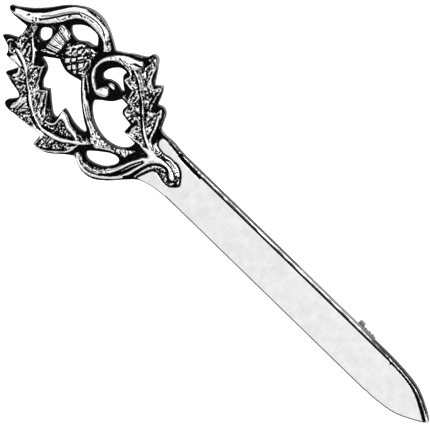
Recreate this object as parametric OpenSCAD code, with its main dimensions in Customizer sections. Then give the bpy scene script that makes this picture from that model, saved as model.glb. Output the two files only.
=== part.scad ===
// Kilt pin: a pierced thistle head, a long flat blade, and a pin with its catch on the back.
// Millimetres, +Z up. The pin lies face up as it rests by itself: the findings on its back lift
// one side, so it leans on them and on the lowest leaf tooth. The origin is on the surface, under
// the middle of the outline, and the blade points along +X.

/* [Head] */
// Length of the head, from its top end to the blade's shoulder
head_length = 37; // [32:0.5:42]
// Width of the head across its widest teeth
head_width = 25; // [22:0.5:28]
// How far the head sits to one side of the blade's centre line
head_offset = 0.2; // [0:0.05:0.4]
// Thickness of the plate that carries the ornament
plate_thick = 1.4; // [1.1:0.1:1.8]
// Height of the leaves' tops above the plate
relief_height = 1; // [0.7:0.1:1.3]
// How far the cast edges stand out round the drawn outlines
edge_swell = 0.1; // [0:0.02:0.2]

/* [Thistle] */
// Height of the thistle bulb's dome above the plate
bulb_rise = 1.3; // [0.9:0.1:1.7]
// Distance between neighbouring scales on the bulb
scale_pitch = 0.95; // [0.8:0.05:1.2]
// Height of one scale above the dome
scale_rise = 0.3; // [0.15:0.05:0.4]
// Number of rays in the tuft
ray_count = 8; // [6:1:9]
// Width of one ray
ray_width = 0.62; // [0.4:0.02:0.8]

/* [Blade] */
// Length of the blade from its shoulder to the tip
blade_length = 58; // [50:1:66]
// Width of the blade over its edges
blade_width = 7; // [6:0.1:7.4]
// Width of the narrow ledge along the blade's edges
ledge_width = 0.27; // [0.15:0.02:0.5]
// Height of the blade's face above the ledge
face_rise = 1; // [0.7:0.1:1.3]

/* [Pin and catch] */
// Radius of the pin's stem
stem_r = 0.55; // [0.4:0.05:0.65]
// Length of the stem from its foot to its point
stem_length = 51; // [48:1:53]
// Length of the stem's sharpened end
point_length = 4; // [2:0.5:6]
// Length of the pin's foot along the blade
foot_length = 3; // [2:0.2:4]
// Place of the foot's middle along the blade, from the shoulder (negative is under the head)
foot_place = -5.4; // [-6.4:0.2:-4]
// Distance of the catch's middle from the blade's shoulder
catch_place = 40.7; // [36:0.5:42]
// Length of the catch's barrel along the blade
catch_length = 3.8; // [3:0.2:5]
// Outer radius of the barrel, and of the foot's rounded underside
barrel_r = 1.6; // [1.4:0.05:1.8]
// Width of the block that carries the barrel or the foot
block_width = 2; // [1.4:0.1:2.6]
// Clearance all round the stem in the barrel's bore
bore_clear = 0.25; // [0.1:0.05:0.35]
// Length of the catch's lever along the blade
lever_length = 1.1; // [0.8:0.1:1.6]
// Height of the lever above the barrel
lever_rise = 0.3; // [0.2:0.05:0.5]
// Depth of the knurl's rings in the barrel
ring_depth = 0.15; // [0.08:0.01:0.25]
// Number of the knurl's rings
ring_count = 3; // [2:1:4]
// Distance from the casting's back to the middle of the stem
finding_depth = 2.35; // [2.1:0.05:3]
// Distance from the blade's centre line to the stem, towards the raised side
finding_offset = 1.7; // [1:0.1:2]
// Thickness of the film of glue between the findings and the casting
glue_gap = 0.05; // [0.02:0.01:0.1]

/* [Hidden] */
curve_steps = 3;
round_faces = 48;
stem_faces = 32;
dome_faces = 24;
sink = 0.3 * relief_height;
half_blade = blade_width / 2;
front = plate_thick + relief_height;
left_leaf_top = plate_thick + 0.75 * relief_height;
right_leaf_top = plate_thick + 0.8 * relief_height;
tuft_floor = plate_thick + 0.3 * relief_height;
bore_r = stem_r + bore_clear;

// Outlines of the head. Columns: along and across as hundredths of the head's length and width,
// from its top end and the blade's centre line, and 1 where the outline has a sharp corner.
HEAD = [
    [0, 4.5, 0], [2.5, 6.8, 0], [7.5, 12.6, 0], [12.5, 20.4, 0], [17.5, 30.1, 0],
    [22.5, 36.9, 0], [27, 40.8, 0], [32, 41.8, 0], [37, 39.8, 0], [42, 35.5, 0],
    [46.5, 31.2, 1], [50, 34.3, 0], [54, 38.8, 0], [58.5, 43, 0], [59.5, 46.8, 0],
    [61.3, 47.8, 0], [63.1, 46.4, 0], [66.3, 39.4, 0], [69.1, 32.6, 1], [70.9, 34.8, 0],
    [72.2, 36.1, 0], [73.7, 33.2, 0], [75.9, 24.7, 1], [78.5, 26.4, 0], [81.1, 24.8, 0],
    [82.8, 19.8, 0], [84.5, 14.9, 0], [87.5, 13.6, 0], [92, 14.3, 0], [97, 13.5, 0],
    [103, 12.9, 1], [103, -14.4, 1], [97, -15.9, 0], [92, -19.4, 0], [88, -25.4, 0],
    [83, -33.7, 0], [78, -39.5, 0], [73, -41.2, 0], [68.5, -39.5, 0], [65.2, -37.1, 1],
    [61.5, -41.2, 0], [56, -48.2, 0], [51.3, -51, 0], [48.8, -50.6, 1], [48.5, -43.2, 1],
    [42, -43.3, 0], [34, -45, 0], [29, -45.5, 0], [27.1, -42.8, 0], [30, -36.6, 0],
    [28.8, -33.1, 0], [24, -31.5, 0], [18.5, -29.2, 1], [20.8, -22.8, 0], [20.9, -20.1, 1],
    [13.4, -20.5, 1], [12.7, -17.4, 0], [11, -15.2, 1], [6.5, -12.9, 1], [8.4, -10.6, 0],
    [12, -7.9, 1], [12.2, -2, 0], [11.4, 3.2, 1], [7, 2.6, 0], [2.5, 2.4, 0],
];
HOLES = [
    [[16.3, 8, 0], [17.3, 11, 0], [19.8, 13.1, 0], [21.6, 11, 0], [22.2, 7.5, 0], [21.2, 2.8, 0],
     [18.8, 2.3, 0], [17, 5, 0]],
    [[25.2, 23.2, 0], [26.3, 26.5, 0], [29.3, 30.3, 0], [33, 31.8, 0], [36.8, 31, 0],
     [40, 25.5, 1], [38, 23.4, 0], [35, 22.3, 0], [31.5, 18.6, 0], [27.5, 19.5, 0]],
    [[25.3, -4.2, 0], [28.5, -0.5, 0], [31.5, 2.6, 1], [34, 0.9, 0], [38, -0.4, 0],
     [44.7, 2, 1], [50, -6.5, 0], [57, -15, 0], [61.5, -19.5, 0], [60.5, -22.8, 0],
     [55, -22.8, 0], [50, -20.6, 0], [48, -20.2, 1], [48.3, -28.4, 1], [45, -27.6, 0],
     [37.4, -17.8, 1], [34.7, -20.4, 1], [32.3, -16.5, 0], [30.5, -9.5, 0], [28, -7, 0],
     [25.5, -6.2, 0]],
    [[54.5, -2, 0], [56.5, 1.8, 0], [60.5, 6.5, 0], [63, 12.4, 1], [67, 12, 1], [66.8, 7.5, 0],
     [68, 5.2, 1], [73.7, 3.9, 1], [73.8, -2.4, 1], [80.6, -3, 1], [80, -8.7, 0],
     [76, -14, 0], [69, -16, 0], [61.5, -13, 0], [56.5, -7.5, 0]],
    [[49.2, 17, 0], [50.2, 21.7, 0], [53, 26.4, 0], [56.5, 27.2, 0], [56.7, 24, 0],
     [58.5, 20.9, 0], [61.8, 17, 1], [60.5, 14.8, 0], [57, 16, 0], [53.7, 14.8, 0],
     [51.5, 12.6, 0], [49.6, 14, 0]],
    [[67.5, -29.5, 0], [69.3, -33.2, 0], [73, -33.2, 0], [78, -29.5, 0], [81.1, -22.5, 0],
     [80.3, -18, 0], [76.5, -18.5, 0], [71, -24.2, 0]],
];
LEFT_LEAF = [
    [14.5, 5, 0], [18, -0.5, 0], [21, -4, 0], [24, -9, 0], [26.5, -9.4, 0], [28.9, -6.8, 1],
    [30.3, -11.5, 0], [32.8, -18, 0], [34.8, -19.8, 1], [37.3, -18, 1], [42.3, -28, 0],
    [46, -31.4, 0], [49.4, -31, 0], [50, -28, 0], [48.7, -21, 1], [53, -22.5, 0], [60, -24.6, 0],
    [66, -24.5, 0], [63.5, -34, 0], [57.5, -43, 0], [53, -48, 0], [49.3, -49.5, 1],
    [49.2, -43.5, 1], [43, -41.5, 0], [36, -43.2, 0], [30, -43.6, 1], [31.5, -39, 0],
    [30.3, -32.5, 1], [21.3, -28.8, 1], [22.6, -24, 0], [21.3, -19.8, 1], [16.5, -19.2, 0],
    [14.5, -16.6, 1], [11.5, -14, 0], [10, -10.8, 0], [13.2, -9, 0], [13.2, -1, 0],
];
RIGHT_LEAF = [
    [60.3, 39, 0], [58.4, 30, 0], [58.2, 23.4, 1], [64, 22.3, 1], [65.2, 16.2, 0],
    [63.2, 15.2, 1], [68.3, 14.3, 1], [67.7, 8, 0], [68.7, 6.7, 1], [75.2, 5.5, 1],
    [75, -1, 1], [84, -0.8, 0], [90.5, -2, 0], [91, 3.5, 0], [86, 6.5, 0], [82.5, 17.5, 0],
    [78.9, 26.6, 1], [77.5, 21.8, 0], [75.3, 20.5, 1], [73.6, 30, 0], [72.6, 36.8, 1],
    [70.5, 33.2, 0], [68, 32.7, 1], [65.3, 40.5, 0], [62.6, 47, 0], [60.8, 47.6, 0],
    [59.4, 44, 0],
];
TUFT = [
    [30.5, 19, 0], [27, 21.2, 0], [22.8, 22, 1], [22, 19, 0], [23.1, 15, 0], [23.1, 8, 0],
    [23.3, 2, 0], [22.8, -1.5, 1], [26, 0.8, 0], [31, 5.2, 0],
];
BULB = [
    [30.2, 13, 0], [31, 19, 0], [35, 23.2, 0], [39.5, 25, 0], [42.6, 23.6, 0], [43.5, 15, 0],
    [45, 6.6, 1], [41, 2.8, 0], [36.5, 2.2, 0], [32.4, 5.4, 0],
];
// The blade's shoulder under its raised face, in the same columns.
FACE_ROOT = [
    [112, 10.9, 1], [98, 11.4, 0], [87.5, 12.4, 0], [87.3, 9.5, 0], [90, 5, 0], [94, -1, 0],
    [94.2, -10, 0], [92.2, -17.6, 1], [97, -14.8, 0], [103, -13.2, 0], [112, -12.8, 1],
];
// Half of the blade's outline. Columns: along as hundredths of its length, across as hundredths
// of its half width.
BLADE = [[-2, 100], [80, 100], [85, 96], [88, 90.5], [90, 85], [92, 76], [94, 62.5], [96, 45],
         [98, 27], [100, 5]];

// Ridges of the ornament. Columns: along, across and half width as hundredths of the head's
// length and width, and the crest's height as hundredths of the relief's.
TOP_LEAF_OUTER = [
    [1.4, 5, 0.8, 30], [5, 7.4, 1.8, 60], [10, 13.3, 2, 85], [15, 22, 2.1, 95],
    [20, 30.8, 2, 100], [25, 36.9, 1.9, 100], [31, 39.6, 1.8, 100], [37, 37.6, 1.8, 95],
    [42, 33.8, 1.6, 90], [46, 30.4, 1.4, 60],
];
TOP_LEAF_INNER = [
    [3, 4.4, 1, 30], [9, 7.5, 2.4, 60], [14, 13.6, 2.2, 85], [18.3, 20, 2.1, 95],
    [22.5, 28.5, 2.1, 100], [27, 34, 2, 100], [32, 36, 2, 100], [37.5, 34.4, 2.2, 95],
    [41.3, 30.8, 2, 80], [43.6, 26.5, 1.4, 50],
];
SCROLL = [
    [62, 37.5, 2.5, 60], [57, 36, 4.4, 100], [53, 34, 3, 120], [49.3, 31, 2.4, 135],
    [46.6, 26.6, 2, 145], [45.5, 21, 1.7, 150], [45.7, 15.5, 1.7, 150], [47.6, 11, 1.9, 150],
    [50.4, 7.6, 2.1, 145], [53.4, 5.8, 2, 130],
];
LEFT_RIB = [
    [10.5, -12, 0.9, 70], [15, -11.6, 1.1, 105], [20, -14.6, 1.2, 120], [26, -20.3, 1.1, 125],
    [32, -27, 1.1, 130], [38, -33, 1.1, 130], [44, -37, 1.2, 130], [49, -38, 1.3, 130],
    [55, -35.6, 1.4, 130], [60, -31.6, 1.4, 125], [66, -25, 1.2, 100],
];
RIGHT_RIB = [
    [60, 33, 0.9, 100], [64, 29.8, 1, 125], [68, 25.5, 1, 130], [72, 20, 1, 130],
    [76, 13.6, 1.1, 130], [80, 8, 1.2, 130], [84, 4.2, 1.4, 135], [90, 1.2, 2.2, 140],
];
STALK_UPPER = [
    [45.8, 5, 0.9, 110], [49, 1, 0.9, 115], [52, -3.6, 0.9, 115], [56, -9.2, 0.9, 110],
    [60, -13, 0.9, 105], [65, -16.2, 0.9, 90], [72, -17.2, 1.1, 70], [79, -13.8, 1.1, 60],
];
STALK_LOWER = [
    [44.8, 4.8, 0.9, 110], [47.6, 0.4, 1, 120], [51, -5.2, 1, 120], [55, -10.2, 1, 115],
    [59, -14.2, 1, 110], [63, -18, 1, 90], [68, -20.5, 1, 70],
];
LOOP_INNER = [
    [88, -3.5, 1.2, 120], [86, -10.5, 1.3, 115], [84.2, -17.5, 1.3, 110], [82.4, -24, 1.4, 105],
    [78.6, -30.4, 1.5, 100], [73.5, -34.3, 1.4, 90], [68, -34.5, 1.3, 70],
];
LOOP_OUTER = [
    [91.6, -3, 1.3, 130], [89.8, -9.5, 1.3, 120], [88.4, -16.5, 1.3, 110], [85.8, -24.2, 1.4, 105],
    [81, -31.7, 1.4, 100], [75.5, -37.2, 1.4, 90], [69.5, -37.8, 1.1, 70],
];
TAIL = [
    [88, 2.4, 2.8, 120], [92, 2.2, 3.6, 140], [96, 1.8, 4.8, 145], [99.5, 1.2, 5.2, 145],
    [102.6, -0.4, 4.6, 140], [105.2, -1.4, 3, 130], [107, -1.7, 0.8, 110],
];
SCROLL_END = [55.4, 8.2, 3.9, 150];

// The bulb's middle, the point that the rays fan out from, and the first and last ray's ends.
// Columns: along and across as hundredths of the head's length and width.
BULB_MIDDLE = [37.6, 13.4];
TUFT_ROOT = [33, 12.5];
TUFT_ENDS = [[22, 22], [22, -1]];

// How far the pin leans, so that the barrel, the foot and the lowest tooth all touch the surface.
head_edge = outline(HEAD);
tooth_y = min([for (p = head_edge) p[1]]) - edge_swell;
reach = norm([finding_offset - tooth_y, finding_depth]);
lean = atan2(finding_depth, finding_offset - tooth_y) + asin(barrel_r / reach);
side_low = tooth_y * cos(lean) - left_leaf_top * sin(lean);
side_high = (max([for (p = head_edge) p[1]]) + edge_swell) * cos(lean);

function head_point(p) =
    [(p[0] / 100 - 1) * head_length, p[1] / 100 * head_width + head_offset];

// A smooth curve through b and c, shaped by their neighbours a and d.
function bend(a, b, c, d, t) =
    (2 * b + (c - a) * t + (2 * a - 5 * b + 4 * c - d) * t * t
     + (3 * b - a - 3 * c + d) * t * t * t) / 2;

// A closed outline through the rows, curved between sharp corners.
function outline(rows) = [
    let (n = len(rows))
    for (i = [0:n - 1])
        let (
            b = rows[i],
            c = rows[(i + 1) % n],
            a = b[2] == 1 ? b : rows[(i + n - 1) % n],
            d = c[2] == 1 ? c : rows[(i + 2) % n],
            steps = b[2] == 1 && c[2] == 1 ? 1 : curve_steps
        )
        for (k = [0:steps - 1])
            head_point(bend(a, b, c, d, k / steps))
];

// The rows of a ridge, with the curve between them.
function ridge_rows(rows) = [
    let (last = len(rows) - 1)
    for (i = [0:last - 1])
        for (k = [0:curve_steps - 1])
            bend(rows[max(i - 1, 0)], rows[i], rows[i + 1], rows[min(i + 2, last)], k / curve_steps),
    rows[len(rows) - 1]
];

module head_shape(rows, height) {
    linear_extrude(height = height)
        polygon(outline(rows));
}

// A long ridge with a rounded back, set a little way into the plate.
module ridge(rows) {
    fine = ridge_rows(rows);
    n = len(fine);
    points = [
        for (i = [0:n - 1])
            let (
                here = head_point(fine[i]),
                way = head_point(fine[min(i + 1, n - 1)]) - head_point(fine[max(i - 1, 0)]),
                side = [-way[1], way[0]] / norm(way),
                w = fine[i][2] / 100 * head_width,
                h = fine[i][3] / 100 * relief_height
            )
            for (s = [[1, -sink], [1, h * 0.45], [0.55, h * 0.9], [0, h], [-0.55, h * 0.9],
                      [-1, h * 0.45], [-1, -sink]])
                [here[0] + side[0] * w * s[0], here[1] + side[1] * w * s[0], plate_thick + s[1]]
    ];
    ring = 7;
    polyhedron(points, concat(
        [[for (j = [0:ring - 1]) j]],
        [for (i = [0:n - 2]) for (j = [0:ring - 1])
            [i * ring + j, (i + 1) * ring + j, (i + 1) * ring + (j + 1) % ring]],
        [for (i = [0:n - 2]) for (j = [0:ring - 1])
            [i * ring + j, (i + 1) * ring + (j + 1) % ring, i * ring + (j + 1) % ring]],
        [[for (j = [ring - 1:-1:0]) (n - 1) * ring + j]]
    ), convexity = 6);
}

module head_plate() {
    difference() {
        linear_extrude(height = plate_thick)
            offset(delta = edge_swell)
                polygon(outline(HEAD));
        for (hole = HOLES)
            translate([0, 0, -1])
                linear_extrude(height = plate_thick + 2)
                    offset(delta = -edge_swell)
                        polygon(outline(hole));
    }
}

module blade() {
    width = [for (p = BLADE) [p[0] / 100 * blade_length, p[1] / 100 * half_blade]];
    edge = concat(width, [for (i = [len(width) - 1:-1:0]) [width[i][0], -width[i][1]]]);
    linear_extrude(height = plate_thick)
        polygon(edge);
    linear_extrude(height = plate_thick + face_rise) {
        offset(delta = -ledge_width)
            polygon(edge);
        polygon(outline(FACE_ROOT));
    }
}

// One four-sided step of a scale, as high above the dome as it reaches into it.
module scale_step(reach_out, rise) {
    cylinder(r = reach_out, h = 2 * rise, center = true, $fn = 4);
}

// The bulb: a low dome cut to its outline, covered with rows of pointed scales.
module bulb() {
    middle = head_point(BULB_MIDDLE);
    half_long = 0.09 * head_length;
    half_wide = 0.15 * head_width;
    rows = ceil(half_wide / scale_pitch) + 1;
    intersection() {
        head_shape(BULB, front + bulb_rise + scale_rise);
        translate([middle[0], middle[1], plate_thick])
            union() {
                scale([half_long, half_wide, bulb_rise])
                    sphere(r = 1, $fn = dome_faces);
                translate([-half_long, -half_wide, -plate_thick])
                    cube([2 * half_long, 2 * half_wide, plate_thick + 0.4 * bulb_rise]);
                for (i = [-rows:rows], j = [-rows:rows])
                    let (
                        x = (i + j) * scale_pitch / 2,
                        y = (i - j) * scale_pitch / 2,
                        off = pow(x / half_long, 2) + pow(y / half_wide, 2)
                    )
                    if (off < 1)
                        translate([x, y, bulb_rise * sqrt(1 - off)])
                            hull() {
                                scale_step(0.48 * scale_pitch, scale_rise);
                                scale_step(0.2 * scale_pitch, 1.4 * scale_rise);
                            }
            }
    }
}

// The tuft: rays that fan out from the bulb.
module tuft() {
    root = head_point(TUFT_ROOT);
    fan = TUFT_ENDS[1] - TUFT_ENDS[0];
    low = ray_width / 2;
    high = ray_width / 4;
    head_shape(TUFT, tuft_floor);
    intersection() {
        head_shape(TUFT, front + relief_height);
        for (k = [0:ray_count - 1])
            let (end = head_point(TUFT_ENDS[0] + fan * k / (ray_count - 1)))
            hull() {
                translate([root[0], root[1], 0])
                    cylinder(r = high, h = front, $fn = 6);
                translate([end[0], end[1], 0])
                    cylinder(r1 = low, r2 = high, h = right_leaf_top, $fn = 6);
            }
    }
}

// The scroll's end: a round boss that narrows upwards.
module scroll_end() {
    middle = head_point(SCROLL_END);
    boss_r = SCROLL_END[2] / 100 * head_width;
    boss_top = plate_thick + SCROLL_END[3] / 100 * relief_height;
    translate([middle[0], middle[1], 0])
        cylinder(r1 = 1.2 * boss_r, r2 = 0.8 * boss_r, h = boss_top, $fn = dome_faces);
}

module flat_casting() {
    head_plate();
    blade();
    head_shape(LEFT_LEAF, left_leaf_top);
    head_shape(RIGHT_LEAF, right_leaf_top);
    for (rows = [TOP_LEAF_OUTER, TOP_LEAF_INNER, SCROLL, LEFT_RIB, RIGHT_RIB, STALK_UPPER,
                 STALK_LOWER, LOOP_INNER, LOOP_OUTER, TAIL])
        ridge(rows);
    scroll_end();
    bulb();
    tuft();
}

// Everything on the back is placed from the middle of the stem.
module on_back(along) {
    translate([along, finding_offset, -finding_depth])
        children();
}

// A block that reaches from the barrel or the foot up to the casting's back.
module block(length) {
    translate([-length / 2, -block_width / 2, 0])
        cube([length, block_width, finding_depth - glue_gap]);
}

module flat_pin_stem() {
    on_back(foot_place) {
        rotate([0, 90, 0])
            cylinder(r = barrel_r, h = foot_length, center = true, $fn = round_faces);
        block(foot_length);
        rotate([0, 90, 0])
            cylinder(r = stem_r, h = stem_length - point_length, $fn = stem_faces);
        translate([stem_length - point_length, 0, 0])
            rotate([0, 90, 0])
                cylinder(r1 = stem_r, r2 = stem_r / 6, h = point_length, $fn = stem_faces);
    }
}

// The catch: a ringed barrel with the stem's bore, its block, and a short lever on one side.
module flat_catch() {
    ring_pitch = (catch_length - lever_length) / (ring_count + 0.5);
    ring_width = ring_pitch / 2;
    on_back(catch_place)
        difference() {
            union() {
                rotate([0, 90, 0])
                    cylinder(r = barrel_r - ring_depth, h = catch_length, center = true, $fn = round_faces);
                for (k = [0:ring_count])
                    translate([lever_length - catch_length / 2 + k * ring_pitch, 0, 0])
                        rotate([0, 90, 0])
                            cylinder(r = barrel_r, h = ring_width, $fn = round_faces);
                translate([-catch_length / 2, 0, 0])
                    rotate([0, 90, 0])
                        cylinder(r = barrel_r, h = lever_length, $fn = round_faces);
                block(catch_length);
                translate([-catch_length / 2, 0, -barrel_r / 2])
                    cube([lever_length, barrel_r + lever_rise, barrel_r]);
            }
            rotate([0, 90, 0])
                cylinder(r = bore_r, h = catch_length + 2, center = true, $fn = round_faces);
        }
}

// Leans the flat pin onto its findings and sets it on the surface.
module lying() {
    drop = tooth_y * sin(lean);
    translate([(head_length - blade_length) / 2, -(side_low + side_high) / 2, -drop])
        rotate([lean, 0, 0])
            children();
}

module casting() {
    color([0.72, 0.72, 0.73])
        lying()
            flat_casting();
}

module pin_stem() {
    color([0.6, 0.61, 0.63])
        lying()
            flat_pin_stem();
}

module catch() {
    color([0.5, 0.51, 0.53])
        lying()
            flat_catch();
}

casting();
pin_stem();
catch();
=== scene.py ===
"""A cast kilt pin lying face up: pierced thistle head, long flat blade, pin and catch behind."""
import functools
import math

import bmesh
import bpy
import numpy as np
from mathutils import Matrix


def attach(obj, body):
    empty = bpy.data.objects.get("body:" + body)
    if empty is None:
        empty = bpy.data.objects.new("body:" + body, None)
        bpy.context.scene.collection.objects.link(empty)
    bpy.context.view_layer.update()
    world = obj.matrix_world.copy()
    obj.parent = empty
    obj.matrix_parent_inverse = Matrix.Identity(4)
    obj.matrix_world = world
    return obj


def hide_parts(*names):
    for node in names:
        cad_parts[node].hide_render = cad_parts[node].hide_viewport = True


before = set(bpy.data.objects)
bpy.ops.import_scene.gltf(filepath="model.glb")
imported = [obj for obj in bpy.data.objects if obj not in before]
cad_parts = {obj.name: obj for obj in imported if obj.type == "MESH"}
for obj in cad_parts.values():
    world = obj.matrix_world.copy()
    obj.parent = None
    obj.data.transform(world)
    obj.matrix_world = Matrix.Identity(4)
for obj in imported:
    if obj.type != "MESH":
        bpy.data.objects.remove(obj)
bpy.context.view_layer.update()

MM = 0.001

# Driving sizes in millimetres, the same as the solid model's.
HEAD_LENGTH = 37.0
HEAD_WIDTH = 25.0
HEAD_OFFSET = 0.2
PLATE = 1.4
RELIEF = 1.0
BLADE_LENGTH = 58.0
BLADE_WIDTH = 7.0
EDGE_SWELL = 0.1
LEDGE = 0.27
FACE_RISE = 1.0
BARREL_R = 1.6
BORE_R = 0.8
BLOCK_WIDTH = 2.0
FINDING_DEPTH = 2.35
FINDING_OFFSET = 1.7
CATCH_PLACE = 40.7
CATCH_LENGTH = 3.8
LEVER_LENGTH = 1.1
LEVER_RISE = 0.3
RING_DEPTH = 0.15
RING_COUNT = 3
GLUE_GAP = 0.05

# The grids that the front is raised on, in millimetres, how many steps a curve takes between two
# places, and how much of the grid round a form is worked on.
GRID = 0.08
BLADE_GRID = 0.5
CURVE_STEPS = 5
WINDOW_MARGIN = 0.6

# The edges of the raised forms and ribs, how soft a change of tone is and how deep a cut, in
# millimetres or as shares.
EDGE_ROUND = 0.12
PAD_ROUND = 0.18
PAD_CROWN = 0.12
RIB_ROUND = 0.8
SOFT_TONE = 0.05
CUT_DEPTH = 0.15

# How far up its flank a form's drawn outline stands, as a share of its height, and how high the
# lowest lobe stands, as a share of the relief.
FLANK_SHARE = 0.75
LOBE_SHARE = 0.75

# The blade's raised face: the width of its flank, the black lines of painted shade along it, the
# thinner painted line at its root, and how much wider its foot is on the upper side.
FACE_STEP = 0.14
LOW_SHADE_LINE = 0.13
ROOT_SHADE_LINE = 0.03
FOOT = 0.09

# Towards the tip the painted shade line grows wider, and the painted shade on the ledge's outer
# edge grows wider and darker: by how much, and between which places along the blade, in millimetres.
TIP_SHADE_LINE = 0.3
TIP_SHADE_LINE_GROWS = (50, 57)
TIP_SHADE_REACH = 0.17
TIP_SHADE_GROWS = (38, 52)

# Places along the head, in its hundredths: where the bright ledge starts above and below the
# tail, where the thin line of painted shade at the face's root ends, and where the blade's own
# outline and its coarser grid take over.
LEDGE_STARTS = 87.3
LOW_LEDGE_STARTS = 93
ROOT_SHADE_LINE_ENDS = 97
ROOT_ENDS = 106
HEAD_RELIEF_END = 112

# The fine strokes that fill a field, how far a drawn mark stands out or is sunk, and how grey the
# ground's specks are.
STIPPLE_PITCH = 0.165
STIPPLE_DEPTH = 0.13
STIPPLE_SHARE = 0.08
MARK_RISE = 0.12
GROUND_SPECKS = 0.2

# The bulb's dome: its centre and its reach in hundredths of the head, and the levels of its edge
# and of its top above that.
BULB_CENTRE = (37.6, 13.4)
BULB_REACH = (9.5, 15.5)
BULB_EDGE = 60
BULB_RISE = 75

# A small nick in the face's edge, along the blade and across it, and its faint and its black
# radius, in millimetres.
NICK = (47.0, 3.05)
NICK_RADII = (0.22, 0.12)

# How far round a gap the grid is measured, how near a gap a side counts as the gap's, where the
# blade's grid grows fine again for the tip, and how far the grid reaches across, in millimetres or
# as shares of the blade's length and the head's width.
GAP_MARGIN = 2
GAP_SIDE = 0.2
TIP_STARTS = 0.78
HEAD_REACH = (-0.53, 0.5)

# The catch's rounded corners in millimetres. A ring's bead is the rings' pitch divided by
# BEAD_SHARE, and the first ring stands FIRST_RING pitches from the lever.
CATCH_LIP = 0.12
BLOCK_ROUND = 0.1
LEVER_ROUND = 0.2
BEAD_SHARE = 3.2
FIRST_RING = 0.65

# The studio's floor and the soft lamp over it, in metres and watts.
FLOOR_REACH = 1.5
LAMP_SIZE = 0.5
LAMP_POWER = 3.0
LAMP_PLACE = (0.15, 0.1, 0.9)

# Greys of the metal; how black the painted shade along its edges is, on the head, on the blade and
# near the tip; how black its flat back is; and the painted shade and reflection on its sides, inside
# the gaps and from place to place along it.
BRIGHT = 0.93
FACE_TONE = 0.73
HOLE_WALL_SHADE = 0.95
EDGE_SHADE = 0.9
BLADE_EDGE_SHADE = 0.6
TIP_SHADE_TONE = 0.15
BACK_TONE = 0.8
SCALE_TONE = 0.04
WALL_PLACES = [-37.0, -28.5, -26.0, -5.0, 0.0, 2.0, 25.2, 26.2, 38.6, 42.8, 43.6, 58.0]
WALL_REFLECTIONS = [0.93, 0.93, 0.68, 0.68, 0.78, 0.82, 0.82, 0.6, 0.62, 0.78, 0.84, 0.8]

# The studio's sky. Columns: height, from 0 at the horizon to 1 overhead, and brightness.
SKY = [(0.0, 0.1), (0.3, 0.3), (0.6, 0.9), (0.9, 1.1), (1.0, 1.2)]

# Facts of the photograph, in its own pixels and in the pin's millimetres.
PHOTO_SIDE = 430
PIXELS_PER_MM = 6.192
AXIS_TURN = 44.2
CAMERA_HEIGHT = 1000.0
VIEW_CENTRE = (-0.42, 0.28)

# How far, along and across, some forms of the head are moved from where they were first drawn.
TOP_LEAF_MOVE = (0.2, -0.5)
SCROLL_MOVE = (0, -0.5)
TAIL_MOVE = (0, -0.4)


def moved(by, rows):
    """Rows that begin with a place, moved along and across."""
    return [[row[0] + by[0], row[1] + by[1], *row[2:]] for row in rows]


def moved_lines(by, lines):
    """Rows that end with the places of a line, moved along and across."""
    return [(*line[:-1], moved(by, line[-1])) for line in lines]


# Outlines of the head. Columns: along and across as hundredths of the head's length and width,
# and a 1 where the outline has a sharp corner.
HEAD = [
    [0, 4.5], [2.5, 6.8], [7.5, 12.6], [12.5, 20.4], [17.5, 30.1],
    [22.5, 36.5], [27, 40], [32, 41], [37, 39.1], [42, 35.3],
    [46.5, 31.2, 1], [50, 34.3], [54, 38.8], [58.5, 43], [59.5, 46.8],
    [61.3, 47.8], [63.1, 46.4], [66.3, 39.4], [69.1, 32.6, 1], [70.9, 34.8],
    [72.2, 36.1], [73.7, 33.2], [75.9, 24.7, 1], [78.5, 26.4], [81.1, 24.8],
    [82.8, 19.8], [84.5, 14.9], [87.5, 13.6], [92, 14.3], [97, 13.5],
    [103, 12.9, 1], [103, -14.4, 1], [97, -15.9], [92, -19.4], [88, -25.4],
    [83, -33.7], [78, -39.5], [73, -41.2], [68.5, -39.5], [65.2, -37.1, 1],
    [61.5, -41.2], [56, -48.2], [51.3, -51], [48.8, -50.6, 1], [48.5, -43.2, 1],
    [42, -43.3], [34, -45], [29, -45.5], [27.1, -42.8], [30, -36.6],
    [28.8, -33.1], [24, -31.5], [18.5, -29.2, 1], [20.8, -22.8], [20.9, -20.1, 1],
    [13.4, -20.5, 1], [12.7, -17.4], [11, -15.2, 1], [6.5, -12.9, 1], [8.4, -10.6],
    [12, -7.9, 1], [12.2, -2], [11.4, 3.2, 1], [7, 2.6], [2.5, 2.4],
]
HOLES = [
    [[16.3, 8], [17.3, 11], [19.8, 13.1], [21.6, 11], [22.2, 7.5], [21.2, 2.8],
     [18.8, 2.3], [17, 5]],
    [[25.2, 23.2], [26.3, 26.5], [29.3, 30.3], [33, 31.8], [36.8, 31],
     [40, 25.5, 1], [38, 23.4], [35, 22.3], [31.5, 18.6], [27.5, 19.5]],
    [[25.3, -4.2], [28.5, -0.5], [31.5, 2.6, 1], [34, 0.9], [38, -0.4],
     [44.7, 2, 1], [50, -6.5], [57, -15], [61.5, -19.5], [60.5, -22.8],
     [55, -22.8], [50, -20.6], [48, -20.2, 1], [48.3, -28.4, 1], [45, -27.6],
     [37.4, -17.8, 1], [34.7, -20.4, 1], [32.3, -16.5], [30.5, -9.5], [28, -7],
     [25.5, -6.2]],
    [[54.5, -2], [56.5, 1.8], [60.5, 6.5], [63, 12.4, 1], [67, 12, 1], [66.8, 7.5],
     [68, 5.2, 1], [73.7, 3.9, 1], [73.8, -2.4, 1], [80.6, -3, 1], [80, -8.7],
     [76, -14], [69, -16], [61.5, -13], [56.5, -7.5]],
    [[49.2, 17], [50.2, 21.7], [53, 26.4], [56.5, 27.2], [56.7, 24],
     [58.5, 20.9], [61.8, 17, 1], [60.5, 14.8], [57, 16], [53.7, 14.8],
     [51.5, 12.6], [49.6, 14]],
    [[67.5, -29.5], [69.3, -33.2], [73, -33.2], [78, -29.5], [81.1, -22.5],
     [80.3, -18], [76.5, -18.5], [71, -24.2]],
]
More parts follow.
